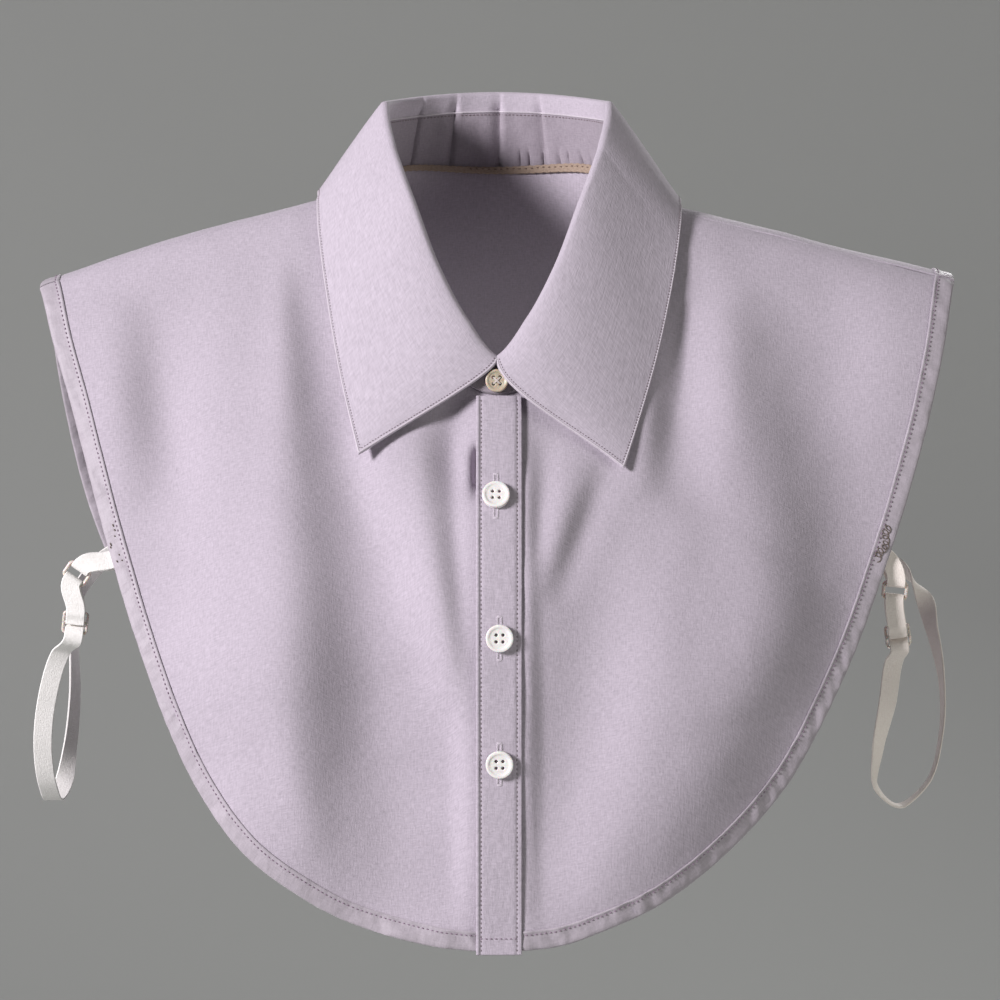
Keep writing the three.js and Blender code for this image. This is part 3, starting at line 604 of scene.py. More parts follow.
back_edges = {sign: back_edge_places(sign, tuck) for sign in (-1, 1)}
back_grid = []
for share in steps(back_rows):
    sign, turn = back_side(share)
    edge = back_edges[sign]
    edge_point = back_form(sign, edge, turn, 1)
    row = []
    for width in steps(back_columns):
        point = back_form(sign, edge, turn, width)
        normal = outward(*back_place(sign, edge, turn, width))
        row.append(back_cloth(point, normal, tuck + (point - edge_point).length))
    back_grid.append(row)
back_bib = sheet_piece(
    "back_bib", back_grid, bib_thickness, hanging, bib_cotton, "cotton", ["back_panel"]
)

# Binding
# A bias strip folded round the raw edges of both bibs, so that its two flaps hold the cloth
# between them. It is pressed from a smoother cotton, stitched through near its inner fold, and
# ripples where the edge curves.

binding_cotton = shirting("binding_cotton", tint(178, 170, 178), 0.6, 0.4, 6)

# Section of the binding: distance from the edge and height off the middle of the cloth, first over
# its outside and then back through the fold.
binding_outside = [(8.3, 0.5), (8.4, 0.9), (8.1, 1.2), (7.6, 1.25), (7.2, 1.0), (6, 0.92)]
binding_outside += [(4, 0.98), (2, 0.98), (0.7, 0.85), (0.1, 0.5), (-0.1, 0), (0.1, -0.5)]
binding_outside += [(0.7, -0.85), (3, -0.95), (6, -0.9), (7.9, -0.85)]
binding_inside = [(8.1, -0.5), (6, -0.5), (2, -0.5), (1.2, -0.3)]
binding_inside += [(1.1, 0), (1.2, 0.3), (2, 0.5), (6, 0.5)]
binding_section = binding_outside + binding_inside


def ring_flat(rings):
    """Flat cloth coordinates of a loft: along it, and round its section."""
    flat = []
    run = 0
    for i, ring in enumerate(rings):
        if i:
            run += (Vector(ring[0]) - Vector(rings[i - 1][0])).length
        round_it = 0
        for j, point in enumerate(ring):
            if j:
                round_it += (Vector(point) - Vector(ring[j - 1])).length
            flat.append((run, round_it))
    return flat


def loft(rings, closed=False):
    """Points, outwards facing faces and flat coordinates of a body through rings of points."""
    size = len(rings[0])
    points = [point for ring in rings for point in ring]
    faces = []
    for i in range(len(rings) if closed else len(rings) - 1):
        here = i * size
        there = (i + 1) % len(rings) * size
        for j in range(size):
            k = (j + 1) % size
            faces.append([here + j, there + j, there + k, here + k])
    if not closed:
        faces.append(list(range(size)))
        faces.append([len(points) - 1 - j for j in range(size)])
    volume = 0
    for face in faces:
        for j in range(1, len(face) - 1):
            a, b, c = (Vector(points[face[index]]) for index in (0, j, j + 1))
            volume += a.dot(b.cross(c))
    if volume < 0:
        faces = [face[::-1] for face in faces]
    return points, faces, ring_flat(rings)


front_ripple = {-1: 0.85, 1: 0.8}  # height of the ripples on each side
ripple_across = 0.62  # radians of their wave to a millimetre across, and to one up
ripple_up = 0.4
ripple_patch = 23  # size of the patches in which they are strong
ripple_wander = 13


def ripple(point, share, height):
    """Slanting ripples of a bias strip that is eased round a curve."""
    patch = ease(noise.noise(point / ripple_patch), -0.35, 0.45)
    strength = patch * lerp(0.35, 1, ease(share, 0.25, 0.5))
    wander = 4 * noise.noise(point / ripple_wander)
    slant = point.x * ripple_across + point.z * ripple_up
    return height * strength * math.sin(slant + wander)


def front_binding_point(sign, share, inset, height):
    """Point on the binding's section at a share of the way down the edge of the front."""
    x, lap = along_curve(front_edge_places(sign, inset), share)
    x = sign * max(sign * x, hairline / 2)
    point = front_cloth(x, lap, inset)
    swell = math.sin(math.pi * min(max(inset / binding_width, 0), 1))
    raised = ripple(point, share, front_ripple[sign]) * swell if height > 0.6 else 0
    return point + outward(x, lap) * (height + raised)


def back_binding_point(share, inset, height):
    sign, turn = back_side(share)
    edge = back_edge_places(sign, inset)
    normal = outward(*back_place(sign, edge, turn, 1))
    return back_cloth(back_form(sign, edge, turn, 1), normal, inset) + normal * height


front_sections = 260
back_sections = 400


def binding_piece(name, node, count, binding_point):
    """A binding of so many sections, from its point at each share, inset and height."""
    rings = [[binding_point(share, *place) for place in binding_section] for share in steps(count)]
    make_piece(name, *loft(rings), binding_cotton, "binding_cotton", [node])


for sign in (-1, 1):
    name, node = (f"{title}_{side_name(sign)}" for title in ("front_binding", "edge_binding_front"))
    binding_piece(name, node, front_sections, partial(front_binding_point, sign))
binding_piece("back_binding", "edge_binding_back", back_sections, back_binding_point)

# Topstitching
# Rows of short, tight machine stitches in a thread a little darker than the cloth. Each stitch
# stands up slightly from the surface and dives into it at both ends.


def grained(name, dark, light, grain, rough, relief, depth, **shader):
    """A finish with grain between two colours. grain, rough and relief give the turns to the metre
    of its colour, roughness and height, and rough also the least roughness and its range."""
    least, span, *turns = rough
    return finish(
        name,
        lambda flat, place: flat.stretched(*grain).between(dark, light),
        lambda flat, place: least + flat.stretched(*turns) * span,
        lambda flat, place: flat.stretched(*relief),
        depth,
        **shader,
    )


twist = (4000, 1500)  # turns of a thread's twist to the metre along it, and round it


def thread_finish(name, shade):
    rough = (0.55, 0.2, *twist)
    dark = shaded(shade, 0.7)
    return grained(name, dark, shade, twist, rough, twist, 0.0001, Sheen_Weight=0.3)


hem_thread = thread_finish("hem_thread", tint(148, 126, 146))
leaf_thread = thread_finish("leaf_thread", tint(118, 102, 108))
tack_thread = thread_finish("tack_thread", tint(112, 98, 88))
thread_radius = 0.24

# Share of the way along a stitch, with its height and its size there by the thread's radius
stitch_arch = [(0, -0.6, 0.5), (0.18, 0.3, 1), (0.5, 0.7, 1.05), (0.82, 0.3, 1), (1, -0.6, 0.5)]


def one_stitch(start, end, normal, radius):
    """A stitch from start to end, arched over the surface."""
    along = end - start
    across = along.cross(normal).normalized()
    spokes = [across * cosine(angle) + normal * sine(angle) for angle in range(0, 360, 60)]
    rings = []
    for share, lift, size in stitch_arch:
        centre = start + along * share + normal * lift * radius
        rings.append([centre + spoke * radius * size for spoke in spokes])
    return loft(rings)


def joined(parts):
    """Points, faces and flat coordinates of several bodies as one."""
    points, faces, flat = [], [], []
    for more_points, more_faces, more_flat in parts:
        faces += [[corner + len(points) for corner in face] for face in more_faces]
        points += more_points
        flat += more_flat
    return points, faces, flat


def stitch_piece(name, stitches, material, slot, radius=thread_radius):
    """One piece from stitches given as (start, end, normal)."""
    make_piece(name, *joined(one_stitch(*stitch, radius) for stitch in stitches), material, slot)


def stitch_row(line, length=1.1, spacing=2.05):
    """Stitches evenly spaced along a line of (point, normal)."""
    stitches = []
    run = spacing / 2
    for (start, normal), (end, _) in zip(line, line[1:]):
        span = (end - start).length
        while run < span:
            middle = start.lerp(end, run / span)
            half = (end - start).normalized() * length / 2
            stitches.append((middle - half, middle + half, normal))
            run += spacing
        run -= span
    return stitches


hem_inset = 6.6  # edge in to the row of stitches through the binding
hem_height = 0.98
hem = []
for sign in (-1, 1):
    line = []
    for share in steps(400):
        x, lap = along_curve(front_edge_places(sign, hem_inset), share)
        point = front_binding_point(sign, share, hem_inset, hem_height)
        if not -placket_left < x < placket_right:
            line.append((point, outward(x, lap)))
    hem += stitch_row(line)
stitch_piece("front_hem_stitches", hem, hem_thread, "binding_cotton")
line = []
for share in steps(700):
    sign, turn = back_side(share)
    normal = outward(*back_place(sign, back_edge_places(sign, hem_inset), turn, 1))
    line.append((back_binding_point(share, hem_inset, hem_height), normal))
stitch_piece("back_hem_stitches", stitch_row(line), hem_thread, "binding_cotton")

# Collar stand
# A band of the same cloth round the neck, sewn to the bibs along the neckline. Its left end laps
# over the right one at the front, and inside the nape it is creased and gathered on its seam.

stand_thickness = 1.6
stand_overlap = 9.5  # how far each end passes the middle of the front
seat_gap = 1.1  # between the neckline and the lower edge of the stand
fold_half = 46.8  # middle to the side of the line at which the leaf turns down
fold_front = 54  # middle of the neck forward to that line
fold_top = 40.2  # neck point up to it at the back
fold_side = 36.2
fold_bottom = 70.3  # neck point down to it at the front
leaf_rise = 8.4  # seam of the stand up to the fold at the back
leaf_rise_front = 2.8

# How far down the fold line has come, as a share of its whole fall, at each turn round the neck
fold_falls = table(
    "turn fall",
    (90, 0),
    (102, 0.08),
    (113.8, 0.187),
    (131.9, 0.383),
    (149, 0.645),
    (166, 0.865),
    (180, 1),
)

# Creases inside the nape: place in degrees round the neck, left ones negative, depth, and width in
# degrees
nape_creases = table(
    "at depth width",
    (-43, 1.8, 1.0),
    (-21.5, 2.2, 1.0),
    (1.8, 2.6, 1.1),
    (23.5, 1.8, 1.0),
)

crease_spread = 3.5  # how much wider a crease is on its left than on its right
gather_height = 1.5
gather_turns = 52  # of the gathers' wave to a turn round the neck
gather_span = (-8, 14, 40, 62)  # places between which they rise, and between which they die away


def fold_fall(turn):
    """Share of its fall that the fold line has come down at a turn round the neck."""
    last = len(fold_falls) - 1
    row = max(i for i in range(last) if fold_falls[i]["turn"] <= turn)
    low, high = fold_falls[row]["turn"], fold_falls[row + 1]["turn"]
    places = [Vector((entry["turn"], entry["fall"])) for entry in fold_falls]
    return along_curve(places, (row + (turn - low) / (high - low)) / last).y


def fold_line(sign, turn):
    """Point of the line at which the leaf turns down."""
    x = sign * fold_half * sine(turn)
    if turn <= 90:
        level = lerp(fold_side, fold_top, cosine(turn) ** 2)
        return Vector((x, nape_depth * cosine(turn), level))
    level = lerp(fold_side, -fold_bottom, fold_fall(min(turn, 180)))
    return Vector((x, fold_front * cosine(turn), level))


def away_from_neck(sign, turn):
    return Vector((sign * sine(turn), cosine(turn), 0))


def rise_at(turn):
    return lerp(leaf_rise, leaf_rise_front, ease(turn, 90, 180))


def nape_crease(sign, turn):
    """How far the creases press the cloth outwards, slowly from the left, with a sharp return."""
    depth = 0
    for crease in nape_creases:
        across = (sign * turn - crease["at"]) / crease["width"]
        spread = crease_spread if across < 0 else 1
        depth += crease["depth"] * math.exp(-((across / spread) ** 2))
    return depth


def gathers(sign, turn, width):
    """Small gathers that rise from the seam inside the nape."""
    place = sign * turn
    strength = ease(place, *gather_span[:2]) * (1 - ease(place, *gather_span[2:]))
    strength *= 1 - ease(width, 0.05, 0.42)
    wave = math.sin(math.radians(place * gather_turns) + 4 * noise.noise((place / 7, 0, 0)))
    return gather_height * strength * max(wave, 0) ** 3


def stand_point(sign, turn, width):
    """Point of the stand between its lower edge (0) and its top seam (1)."""
    start = neckline(sign, turn)
    up = fold_line(sign, turn) - start
    height = up.length - rise_at(turn)
    up.normalize()
    aside = -sign * (stand_thickness / 2 + hairline) * ease(turn, 140, 168)
    aside += nape_crease(sign, turn) * 0.8 + gathers(sign, turn, width)
    point = start + up * lerp(seat_gap, height, width)
    aside += rumple(point, 22, 0.3) + rumple(point, 6, 0.35)
    return point + away_from_neck(sign, turn) * aside


# Painted shade: the stand's cloth is a darker copy of the shirting, so that the wall inside the
# nape and the stand's front end under the collar button look shaded.
painted_shade_stand_cotton = shirting("painted_shade_stand_cotton", tint(158, 149, 158), 0.9)
leaf_end = 180 - math.degrees(math.asin(hairline / 2 / fold_half))
stand_end = 180 + math.degrees(math.asin(stand_overlap / neck_half))
neck_rows = 480  # steps of the collar's mesh from one end of the leaf to the other
end_rows = 12  # and over each end of the stand
round_neck = []
for share in steps(neck_rows):
    round_neck.append((-1 if share < 0.5 else 1, abs(2 * share - 1) * leaf_end))
left_end = [(-1, lerp(stand_end, leaf_end, share)) for share in steps(end_rows)[:-1]]
right_end = [(1, lerp(leaf_end, stand_end, share)) for share in steps(end_rows)[1:]]
stand_grid = [
    [stand_point(sign, turn, width) for width in steps(16)]
    for sign, turn in left_end + round_neck + right_end
]
along_step = 0.75  # flat length of a step of the collar's mesh along the neck, and across it
across_step = 1.6


def along_neck(i, j, point):
    """Flat place of cloth that runs round the neck."""
    return (i * along_step, j * across_step)


name = "collar_stand_band"
node = ["collar_stand"]
stand = sheet_piece(name, stand_grid, stand_thickness, along_neck, painted_shade_stand_cotton, "cotton", node)

# Collar leaf
# The turned-down collar: two layers with a fused interlining, sewn into the top of the stand,
# rolled over it and spread to two points. A row of stitches follows its free edges closely.

leaf_thickness = 1.4
leaf_gap = 0.6  # between the top of the stand and the leaf sewn into it
roll_radius = 1.3  # radius of the fold at the back and the sides
roll_radius_front = 1.8
leaf_reach = {-1: 76.3, 1: 78}  # middle out to the edge of the leaf on the shoulder
leaf_lap = 10  # how far the leaf falls below the neckline at the back
leaf_lift = 2  # air between the edge of the leaf and the bib
solid_bib_thickness = 1.2  # the bib as its solid has it, on which the leaf's place was worked out
point_reach = {-1: 57.2, 1: 52.3}  # middle out to the collar point
point_drop = {-1: 111.6, 1: 117.1}  # neck point down to it
edge_bow = {-1: 0.3, 1: 0.65}  # how strongly the leaf bows out of its fold at the front
side_bow = 0.7

leaf_cotton = shirting("leaf_cotton", tint(193, 184, 195), 0.9)
# Painted highlight: a lighter copy of the shirting for the leaf's rolled edge and the stand's seam
# cord, so that they show as crisp bright lines.
painted_highlight_cotton = shirting("painted_highlight_cotton", tint(204, 196, 204), 0.5)


def leaf_edge(sign, turn):
    """Point of the leaf's free edge, which passes round the back and over the shoulder."""
    height = leaf_lift + (leaf_thickness + solid_bib_thickness) / 2
    if turn <= back_turn:
        edge = back_edge_places(sign, 0)
        middle_lap = math.sqrt(ridge(0) - nape_rise + leaf_lap)
        middle = (middle_lap - nape_lap) / (edge[-1].y - nape_lap)
        shoulder = (leaf_reach[sign] - neck_half) / (shoulder_half - neck_half)
        width = lerp(middle, shoulder, ease(turn, 0, back_turn))
        form = partial(back_form, sign, edge)
        ahead = form(turn + 0.1, width) - form(turn - 0.1, width)
        down = form(turn, width + 0.001) - form(turn, width - 0.001)
        return form(turn, width) + ahead.cross(down).normalized() * sign * height
    point_lap = -front_lap(sign * point_reach[sign], -point_drop[sign])
    x = sign * lerp(leaf_reach[sign], point_reach[sign], -(cosine(turn) ** 3))
    lap = point_lap * cosine(turn)
    return body(x, lap) + outward(x, lap) * height


def bezier(a, b, c, d, share):
    rest = 1 - share
    return a * rest**3 + b * 3 * rest**2 * share + c * 3 * rest * share**2 + d * share**3


inner_steps = 5  # steps of the leaf's section up from its seam, round the roll and down outside
roll_steps = 13
fall_steps = 34
roll_angle = 150


def leaf_section(sign, turn):
    """Points of the leaf from its seam in the stand up, over the roll and down to its edge."""
    fold = fold_line(sign, turn)
    up = (fold - neckline(sign, turn)).normalized()
    out = away_from_neck(sign, turn)
    roll = lerp(roll_radius, roll_radius_front, ease(turn, 120, 170))
    radius = min(roll, rise_at(turn) - leaf_gap)
    centre = fold - up * radius + out * radius

    def on_roll(angle):
        return centre + (up * sine(angle) - out * cosine(angle)) * radius

    low = fold + up * (leaf_gap - rise_at(turn))
    crease = out * nape_crease(sign, turn)
    section = []
    for share in steps(inner_steps)[:-1]:
        section.append(lerp(low, on_roll(0), share) + crease * (1 - share))
    for share in steps(roll_steps):
        fade = 1 - ease(share, 0, 0.8)
        section.append(on_roll(roll_angle * share) + crease * 0.25 * fade)
    start = section[-1]
    end = leaf_edge(sign, turn)
    leave = (on_roll(roll_angle + 5) - on_roll(roll_angle - 5)).normalized()
    bow = lerp(side_bow, edge_bow[sign], ease(turn, 120, 180)) * (end - start).length
    for share in steps(fall_steps)[1:]:
        point = bezier(start, start + leave * bow / 3, end - (end - start) / 3, end, share)
        section.append(point + out * rumple(point, 30, 0.5) * share)
    return section


leaf_grid = [leaf_section(sign, turn) for sign, turn in round_neck]
name = "collar_leaf_cloth"
node = ["collar_leaf"]
leaf = sheet_piece(name, leaf_grid, leaf_thickness, along_neck, leaf_cotton, "collar_cotton", node)

# Neck tape
# A narrow tan tape that covers the seam inside the nape. Small stitches catch it down, mostly
# towards its right end.

tape_height = 3
tape_thickness = 0.9
tape_inset = 1.9  # middle of the stand in to the middle of the tape
tape_turn = 80  # how far round the neck it reaches on each side
tape_weave = (700, 2600)

tape_cotton = grained(
    "tape_cotton",
    tint(140, 118, 102),
    tint(184, 165, 148),
    tape_weave,
    (0.8, 0.15, 900, 900),
    tape_weave,
    0.0003,
)
tape_thread = thread_finish("tape_thread", tint(124, 99, 84))


def tape_point(place, part):
    """Point of the tape at a turn round the neck, left turns negative, and a part of its height."""
    sign = -1 if place < 0 else 1
    middle = neckline(sign, abs(place)) - away_from_neck(sign, abs(place)) * tape_inset
    height = tape_height * lerp(0.65, 1.12, ease(place, -50, 60))
    return middle + Vector((0, 0, part * height + 0.12 * math.sin(place * 1.7)))


tape_grid = [
    [tape_point(lerp(-tape_turn, tape_turn, share), part - 0.5) for part in steps(5)]
    for share in steps(220)
]


def along_tape(i, j, point):
    return (i * 0.72, j * 0.6)


name = "neck_tape_strip"
node = ["neck_tape"]
sheet_piece(name, tape_grid, tape_thickness, along_tape, tape_cotton, "tape_cotton", node)
line = []
for share in steps(160):
    place = lerp(-14, 66, share)
    sign = -1 if place < 0 else 1
    inside = -away_from_neck(sign, abs(place))
    line.append((tape_point(place, 0.22) + inside * tape_thickness / 2, inside))
stitch_piece("neck_tape_stitches", stitch_row(line, 1.3, 2.7), tape_thread, "tape_cotton")

# Topstitching of the collar
# The leaf has a rolled edge and a row of stitches just inside it. The stand has a row along its
# top seam, inside the nape, with the seam's cord above it.


def surface_line(grid, places, thickness, side):
    """Points and normals on one side of a sheet's grid at fractional places (i, j)."""

    def at(i, j):
        i = min(max(i, 0), len(grid) - 1)
        j = min(max(j, 0), len(grid[0]) - 1)
        low_i, low_j = min(int(i), len(grid) - 2), min(int(j), len(grid[0]) - 2)
        near = grid[low_i][low_j].lerp(grid[low_i][low_j + 1], j - low_j)
        far = grid[low_i + 1][low_j].lerp(grid[low_i + 1][low_j + 1], j - low_j)
        return near.lerp(far, i - low_i)

    line = []
    for i, j in places:
        along = at(i + 0.5, j) - at(i - 0.5, j)
        across = at(i, j + 0.5) - at(i, j - 0.5)
        normal = along.cross(across).normalized() * side
        line.append((at(i, j) + normal * thickness / 2, normal))
    return line


edge_stitch_inset = 1.3
rolled_edge_inset = 0.3
rolled_edge_radius = 0.4
seam_cord_radius = 0.42
nape_end = 100  # turn round the neck to which the rows inside the nape reach


def leaf_width_inset(i, inset):
    """How many steps of the leaf's grid from its free edge make up an inset."""
    section = leaf_grid[i]
    run = 0
    for j in range(len(section) - 1, 0, -1):
        step = (section[j] - section[j - 1]).length
        if run + step >= inset:
            return len(section) - 1 - j + (inset - run) / step
        run += step
    return 0


def front_steps_inset(j, first, step, inset):
    """How many sections from an end of the leaf make up an inset along its front edge."""
    run = 0
    i = first
    while 0 <= i + step < len(leaf_grid):
        length = (leaf_grid[i + step][j] - leaf_grid[i][j]).length
        if run + length >= inset:
            return abs(i - first) + (inset - run) / length
        run += length
        i += step
    return 0


columns = len(leaf_grid[0]) - 1
rows = len(leaf_grid) - 1
fold_column = inner_steps + roll_steps
leaf_side = 1 if surface_line(leaf_grid, [(rows / 2, columns - 4)], 1, 1)[0][1].y > 0 else -1


def along_leaf_edge(inset):
    """Points and normals along the leaf's free edges at an inset."""
    left = []
    right = []
    for j in range(fold_column, columns - 1):
        left.append((front_steps_inset(j, 0, 1, inset), j))
        right.append((rows - front_steps_inset(j, rows, -1, inset), j))
    first = math.ceil(front_steps_inset(columns, 0, 1, inset))
    last = math.floor(rows - front_steps_inset(columns, rows, -1, inset))
    hem = [(i, columns - leaf_width_inset(i, inset)) for i in range(first, last + 1)]
    return surface_line(leaf_grid, left + hem + right[::-1], leaf_thickness, leaf_side)


edge_row = stitch_row(along_leaf_edge(edge_stitch_inset), 0.75, 1.35)
stitch_piece("leaf_topstitches", edge_row, leaf_thread, "collar_cotton", 0.17)


def wire(path, normals, radius, closed=False, sides=10):
    """A round wire along a path, as points, faces and flat coordinates."""
    angles = [360 * k / sides for k in range(sides)]
    rings = []
    for i, centre in enumerate(path):
        if closed:
            along = path[(i + 1) % len(path)] - path[i - 1]
        else:
            along = path[min(i + 1, len(path) - 1)] - path[max(i - 1, 0)]
        side = along.cross(normals[i]).normalized()
        up = side.cross(along).normalized()
        rings.append([centre + (side * cosine(a) + up * sine(a)) * radius for a in angles])
    return loft(rings, closed)


# The rolled edge is lighter than the leaf: a painted highlight along its free edges.
rolled, normals = zip(*along_leaf_edge(rolled_edge_inset))
rolled = [point - normal * rolled_edge_radius * 0.4 for point, normal in zip(rolled, normals)]
rolled = wire(rolled, normals, rolled_edge_radius)
make_piece("leaf_rolled_edge", *rolled, painted_highlight_cotton, "collar_cotton")


def inside_nape(width, lift):
    """Points and normals along the stand inside the nape, lifted off its surface."""
    line = []
    for sign, turn in round_neck[::2]:
        if turn < nape_end:
            inside = -away_from_neck(sign, turn)
            point = stand_point(sign, turn, width) + inside * (stand_thickness / 2 + lift)
            line.append((point, inside))
    return line


seam_row = stitch_row(inside_nape(0.965, 0), 1.2, 1.7)
stitch_piece("stand_topstitches", seam_row, leaf_thread, "cotton", 0.2)
# The cord is lighter than the stand: a painted highlight along the top seam.
cord = wire(*zip(*inside_nape(1.02, 0.1)), seam_cord_radius)
make_piece("stand_seam_cord", *cord, painted_highlight_cotton, "cotton")

# Button band
# A straight strip that is folded at both edges and sewn over the overlap of the two front bibs.
# Each edge is stitched, and the bib lies close along its right one.

placket_top = 87.4  # neck point down to the top of the band
placket_thickness = 1.1
placket_lift = 1.8  # middle of the cloth up to the middle of the band
placket_seam = 1.7  # edge of the band in to its stitches
right_edge_lift = -0.3  # how far the right edge stands above the rest of the band
left_rim = 0.5  # height of the pressed rim along the left edge
seam_groove = 0.22  # depth to which the stitches draw the band in


def placket_point(x, z):
    """Point of the band's middle surface in front of (x, z)."""
    lap = front_lap(x, z)
    edge = min(x + placket_left, placket_right - x)
    groove = seam_groove * math.exp(-(((edge - placket_seam) / 0.6) ** 2))
    groove -= left_rim * math.exp(-(((x + placket_left - 0.35) / 0.4) ** 2))
    stand_off = right_edge_lift * ease(x, 6.5, placket_right)
    wave = rumple(Vector((x, 0, z)), 11, 0.22) + rumple(Vector((x * 2, 0, z)), 4, 0.1)
    lift = placket_lift + stand_off - groove + wave * ease(edge, 0, 3)
    return body(x, lap) + outward(x, lap) * lift


placket_widths = [-placket_left + width * 0.22 for width in range(12)]
placket_widths += [lerp(-5.2, 6.8, share) for share in steps(20)]
placket_widths += [placket_right - width * 0.27 for width in range(11, -1, -1)]
placket_grid = [
    [placket_point(x, lerp(-placket_top, -bib_length, share)) for x in placket_widths]
    for share in steps(300)
]


def upright(i, j, point):
    return (point.x, point.z)


name = "button_band"
node = ["placket"]
band = sheet_piece(name, placket_grid, placket_thickness, upright, bib_cotton, "cotton", node)


def on_band(x, z):
    """Point and normal on the front of the band."""
    lap = front_lap(x, z)
    normal = outward(x, lap)
    return placket_point(x, z) + normal * placket_thickness / 2, normal


band_rows = []
for x in (placket_seam - placket_left, placket_right - placket_seam):
    line = [on_band(x, lerp(-placket_top - 1, 1 - bib_length, share)) for share in steps(200)]
    band_rows += stitch_row(line, 1.0, 1.9)
stitch_piece("button_band_stitches", band_rows, leaf_thread, "cotton", 0.16)
band_hem = hem_inset - bib_length
band_widths = [lerp(0.8 - placket_left, placket_right - 0.4, share) for share in steps(30)]
line = [on_band(x, band_hem) for x in band_widths]
stitch_piece("button_band_hem", stitch_row(line), hem_thread, "cotton")

# Buttonholes
# Upright slits down the band, each worked round with close satin stitches and barred at both
# ends. Their ends show above and below the buttons.

buttons = table(
    "drop aside",
    (127.5, -0.4),  # neck point down, and middle out to the right
    (184.3, 1.1),
    (236.5, 1.1),
)
hole_length = 16.6
hole_half_width = 1.3
hole_slit = 0.3
satin_spacing = 0.46
bar_stitches = 3  # across each end of a buttonhole
bar_spacing = 0.28
hole_thread = thread_finish("buttonhole_thread", tint(214, 205, 215))


def satin_stitch(x0, x1, z):
    start, normal = on_band(x0, z)
    return start, on_band(x1, z)[0], normal


satin = []
for button in buttons:
    x, middle = button["aside"], -button["drop"]
    count = round(hole_length / satin_spacing)
    for i in range(count + 1):
        z = middle + (i / count - 0.5) * hole_length
        reach = hole_half_width + 0.08 * math.sin(i * 2.3)
        satin += [satin_stitch(x + side * hole_slit, x + side * reach, z) for side in (-1, 1)]
    for end_sign in (-1, 1):
        for k in range(bar_stitches):
            z = middle + end_sign * (hole_length / 2 + 0.15 + k * bar_spacing)
            satin.append(satin_stitch(x - hole_half_width, x + hole_half_width, z))
stitch_piece("buttonholes", satin, hole_thread, "cotton", 0.2)

# Buttons
# Turned four-hole buttons: three of pale shell with a raised rim and a dished middle, and a
# smaller one of translucent horn at the throat, sewn on with crossed thread.

button_diameter = 11.5
collar_button_diameter = 9.6
button_thickness = 2.4
hole_diameter = 1.4
hole_spacing = 2.8
hole_bevel = 0.16
button_seat = 1.1  # middle of the stand out to the back of the button on it

polish_turns = (260, 260)
polish_depth = 0.00006
shell = grained(
    "button_shell",
    tint(226, 224, 224),
    tint(250, 247, 241),
    (160, 420),
    (0.22, 0.15, 300, 300),
    polish_turns,
    polish_depth,
    Coat_Weight=0.5,
    Coat_Roughness=0.12,
    Subsurface_Weight=0.15,
    Subsurface_Scale=0.002,
)
horn = grained(
    "button_horn",
    tint(172, 158, 134),
    tint(206, 196, 176),
    (260, 520),
    (0.3, 0.2, 300, 300),
    polish_turns,
    polish_depth,
    Coat_Weight=0.3,
    Coat_Roughness=0.2,
    Subsurface_Weight=0.3,
    Subsurface_Scale=0.002,
)
button_thread = thread_finish("button_thread", tint(222, 212, 204))


def button_face(radius, reach):
    """Height of the front of a button at a distance from its middle."""
    edge = edge_share * button_thickness
    rim = rim_width_share * radius
    if reach > radius - edge:
        return button_thickness - edge + math.sqrt(max(edge**2 - (reach - radius + edge) ** 2, 0))
    dish = 1 - ease(reach, radius - 1.7 * rim, radius - 0.8 * rim)
    return button_thickness * (1 - 0.2 * dish - 0.05 * ease(reach, radius * 0.7, 0))


hole_corners = [(-1, -1), (1, -1), (1, 1), (-1, 1)]
rim_insets = [0.03, 0.1, 0.22, 0.4, 0.62, 0.85, 1.05, 1.25, 1.45, 1.7]  # rings of points in the rim
edge_share = 0.18  # rounding of a button's edge as a share of its thickness
rim_width_share = 0.2  # width of its rim as a share of its radius


def disc_with_holes(radius):
    """A triangulated disc with four holes, as points, faces and the middles of the holes."""
    centres = [Vector(corner) * hole_spacing / 2 for corner in hole_corners]
    points = []
    edges = []

    def circle(centre, size, count, joined):
        first = len(points)
        for k in range(count):
            angle = 360 * k / count
            points.append(centre + Vector((cosine(angle), sine(angle))) * size)
            if joined:
                edges.append((first + k, first + (k + 1) % count))

    hole_size = hole_diameter / 2 + hole_bevel
    for centre in centres:
        circle(centre, hole_diameter / 2, 28, True)
        circle(centre, hole_size, 28, True)
    middle = Vector((0, 0))
    circle(middle, radius, 96, True)
    for inset in rim_insets:
        circle(middle, radius - inset, 96, False)
    reach = radius - 2.2
    while reach > 0.3:
        for k in range(40):
            spot = Vector((cosine(9 * k), sine(9 * k))) * reach
            if min((spot - centre).length for centre in centres) > hole_size + 0.15:
                points.append(spot)
        reach -= 0.4
    flat_points, _, triangles, *_ = delaunay_2d_cdt(points, edges, [], 0, 1e-6)
    faces = []
    for face in triangles:
        centroid = sum((flat_points[corner] for corner in face), Vector((0, 0))) / 3
        if min((centroid - centre).length for centre in centres) > hole_diameter / 2 * 0.99:
            faces.append(face)
    return flat_points, faces, centres


def button_body(radius):
    """Points and faces of a button with its back at the origin, facing up."""
    flat_points, faces, centres = disc_with_holes(radius)
    count = len(flat_points)
    front = []
    back = []
    for point in flat_points:
        height = button_face(radius, point.length)
        wall = min((point - centre).length for centre in centres) - hole_diameter / 2
        sunk = 0.13 * (1 - ease(wall, 0, hole_bevel))
        front.append((point.x, point.y, height - sunk))
        back.append((point.x, point.y, 0.25 * ease(point.length, radius - 0.5, radius)))
    solid_faces = [list(face) for face in faces]
    solid_faces += [[corner + count for corner in reversed(face)] for face in faces]
    used = dict.fromkeys((face[k], face[(k + 1) % 3]) for face in faces for k in range(3))
    for a, b in used:
        if (b, a) not in used:
            solid_faces.append([b, a, a + count, b + count])
    return front + back, solid_faces


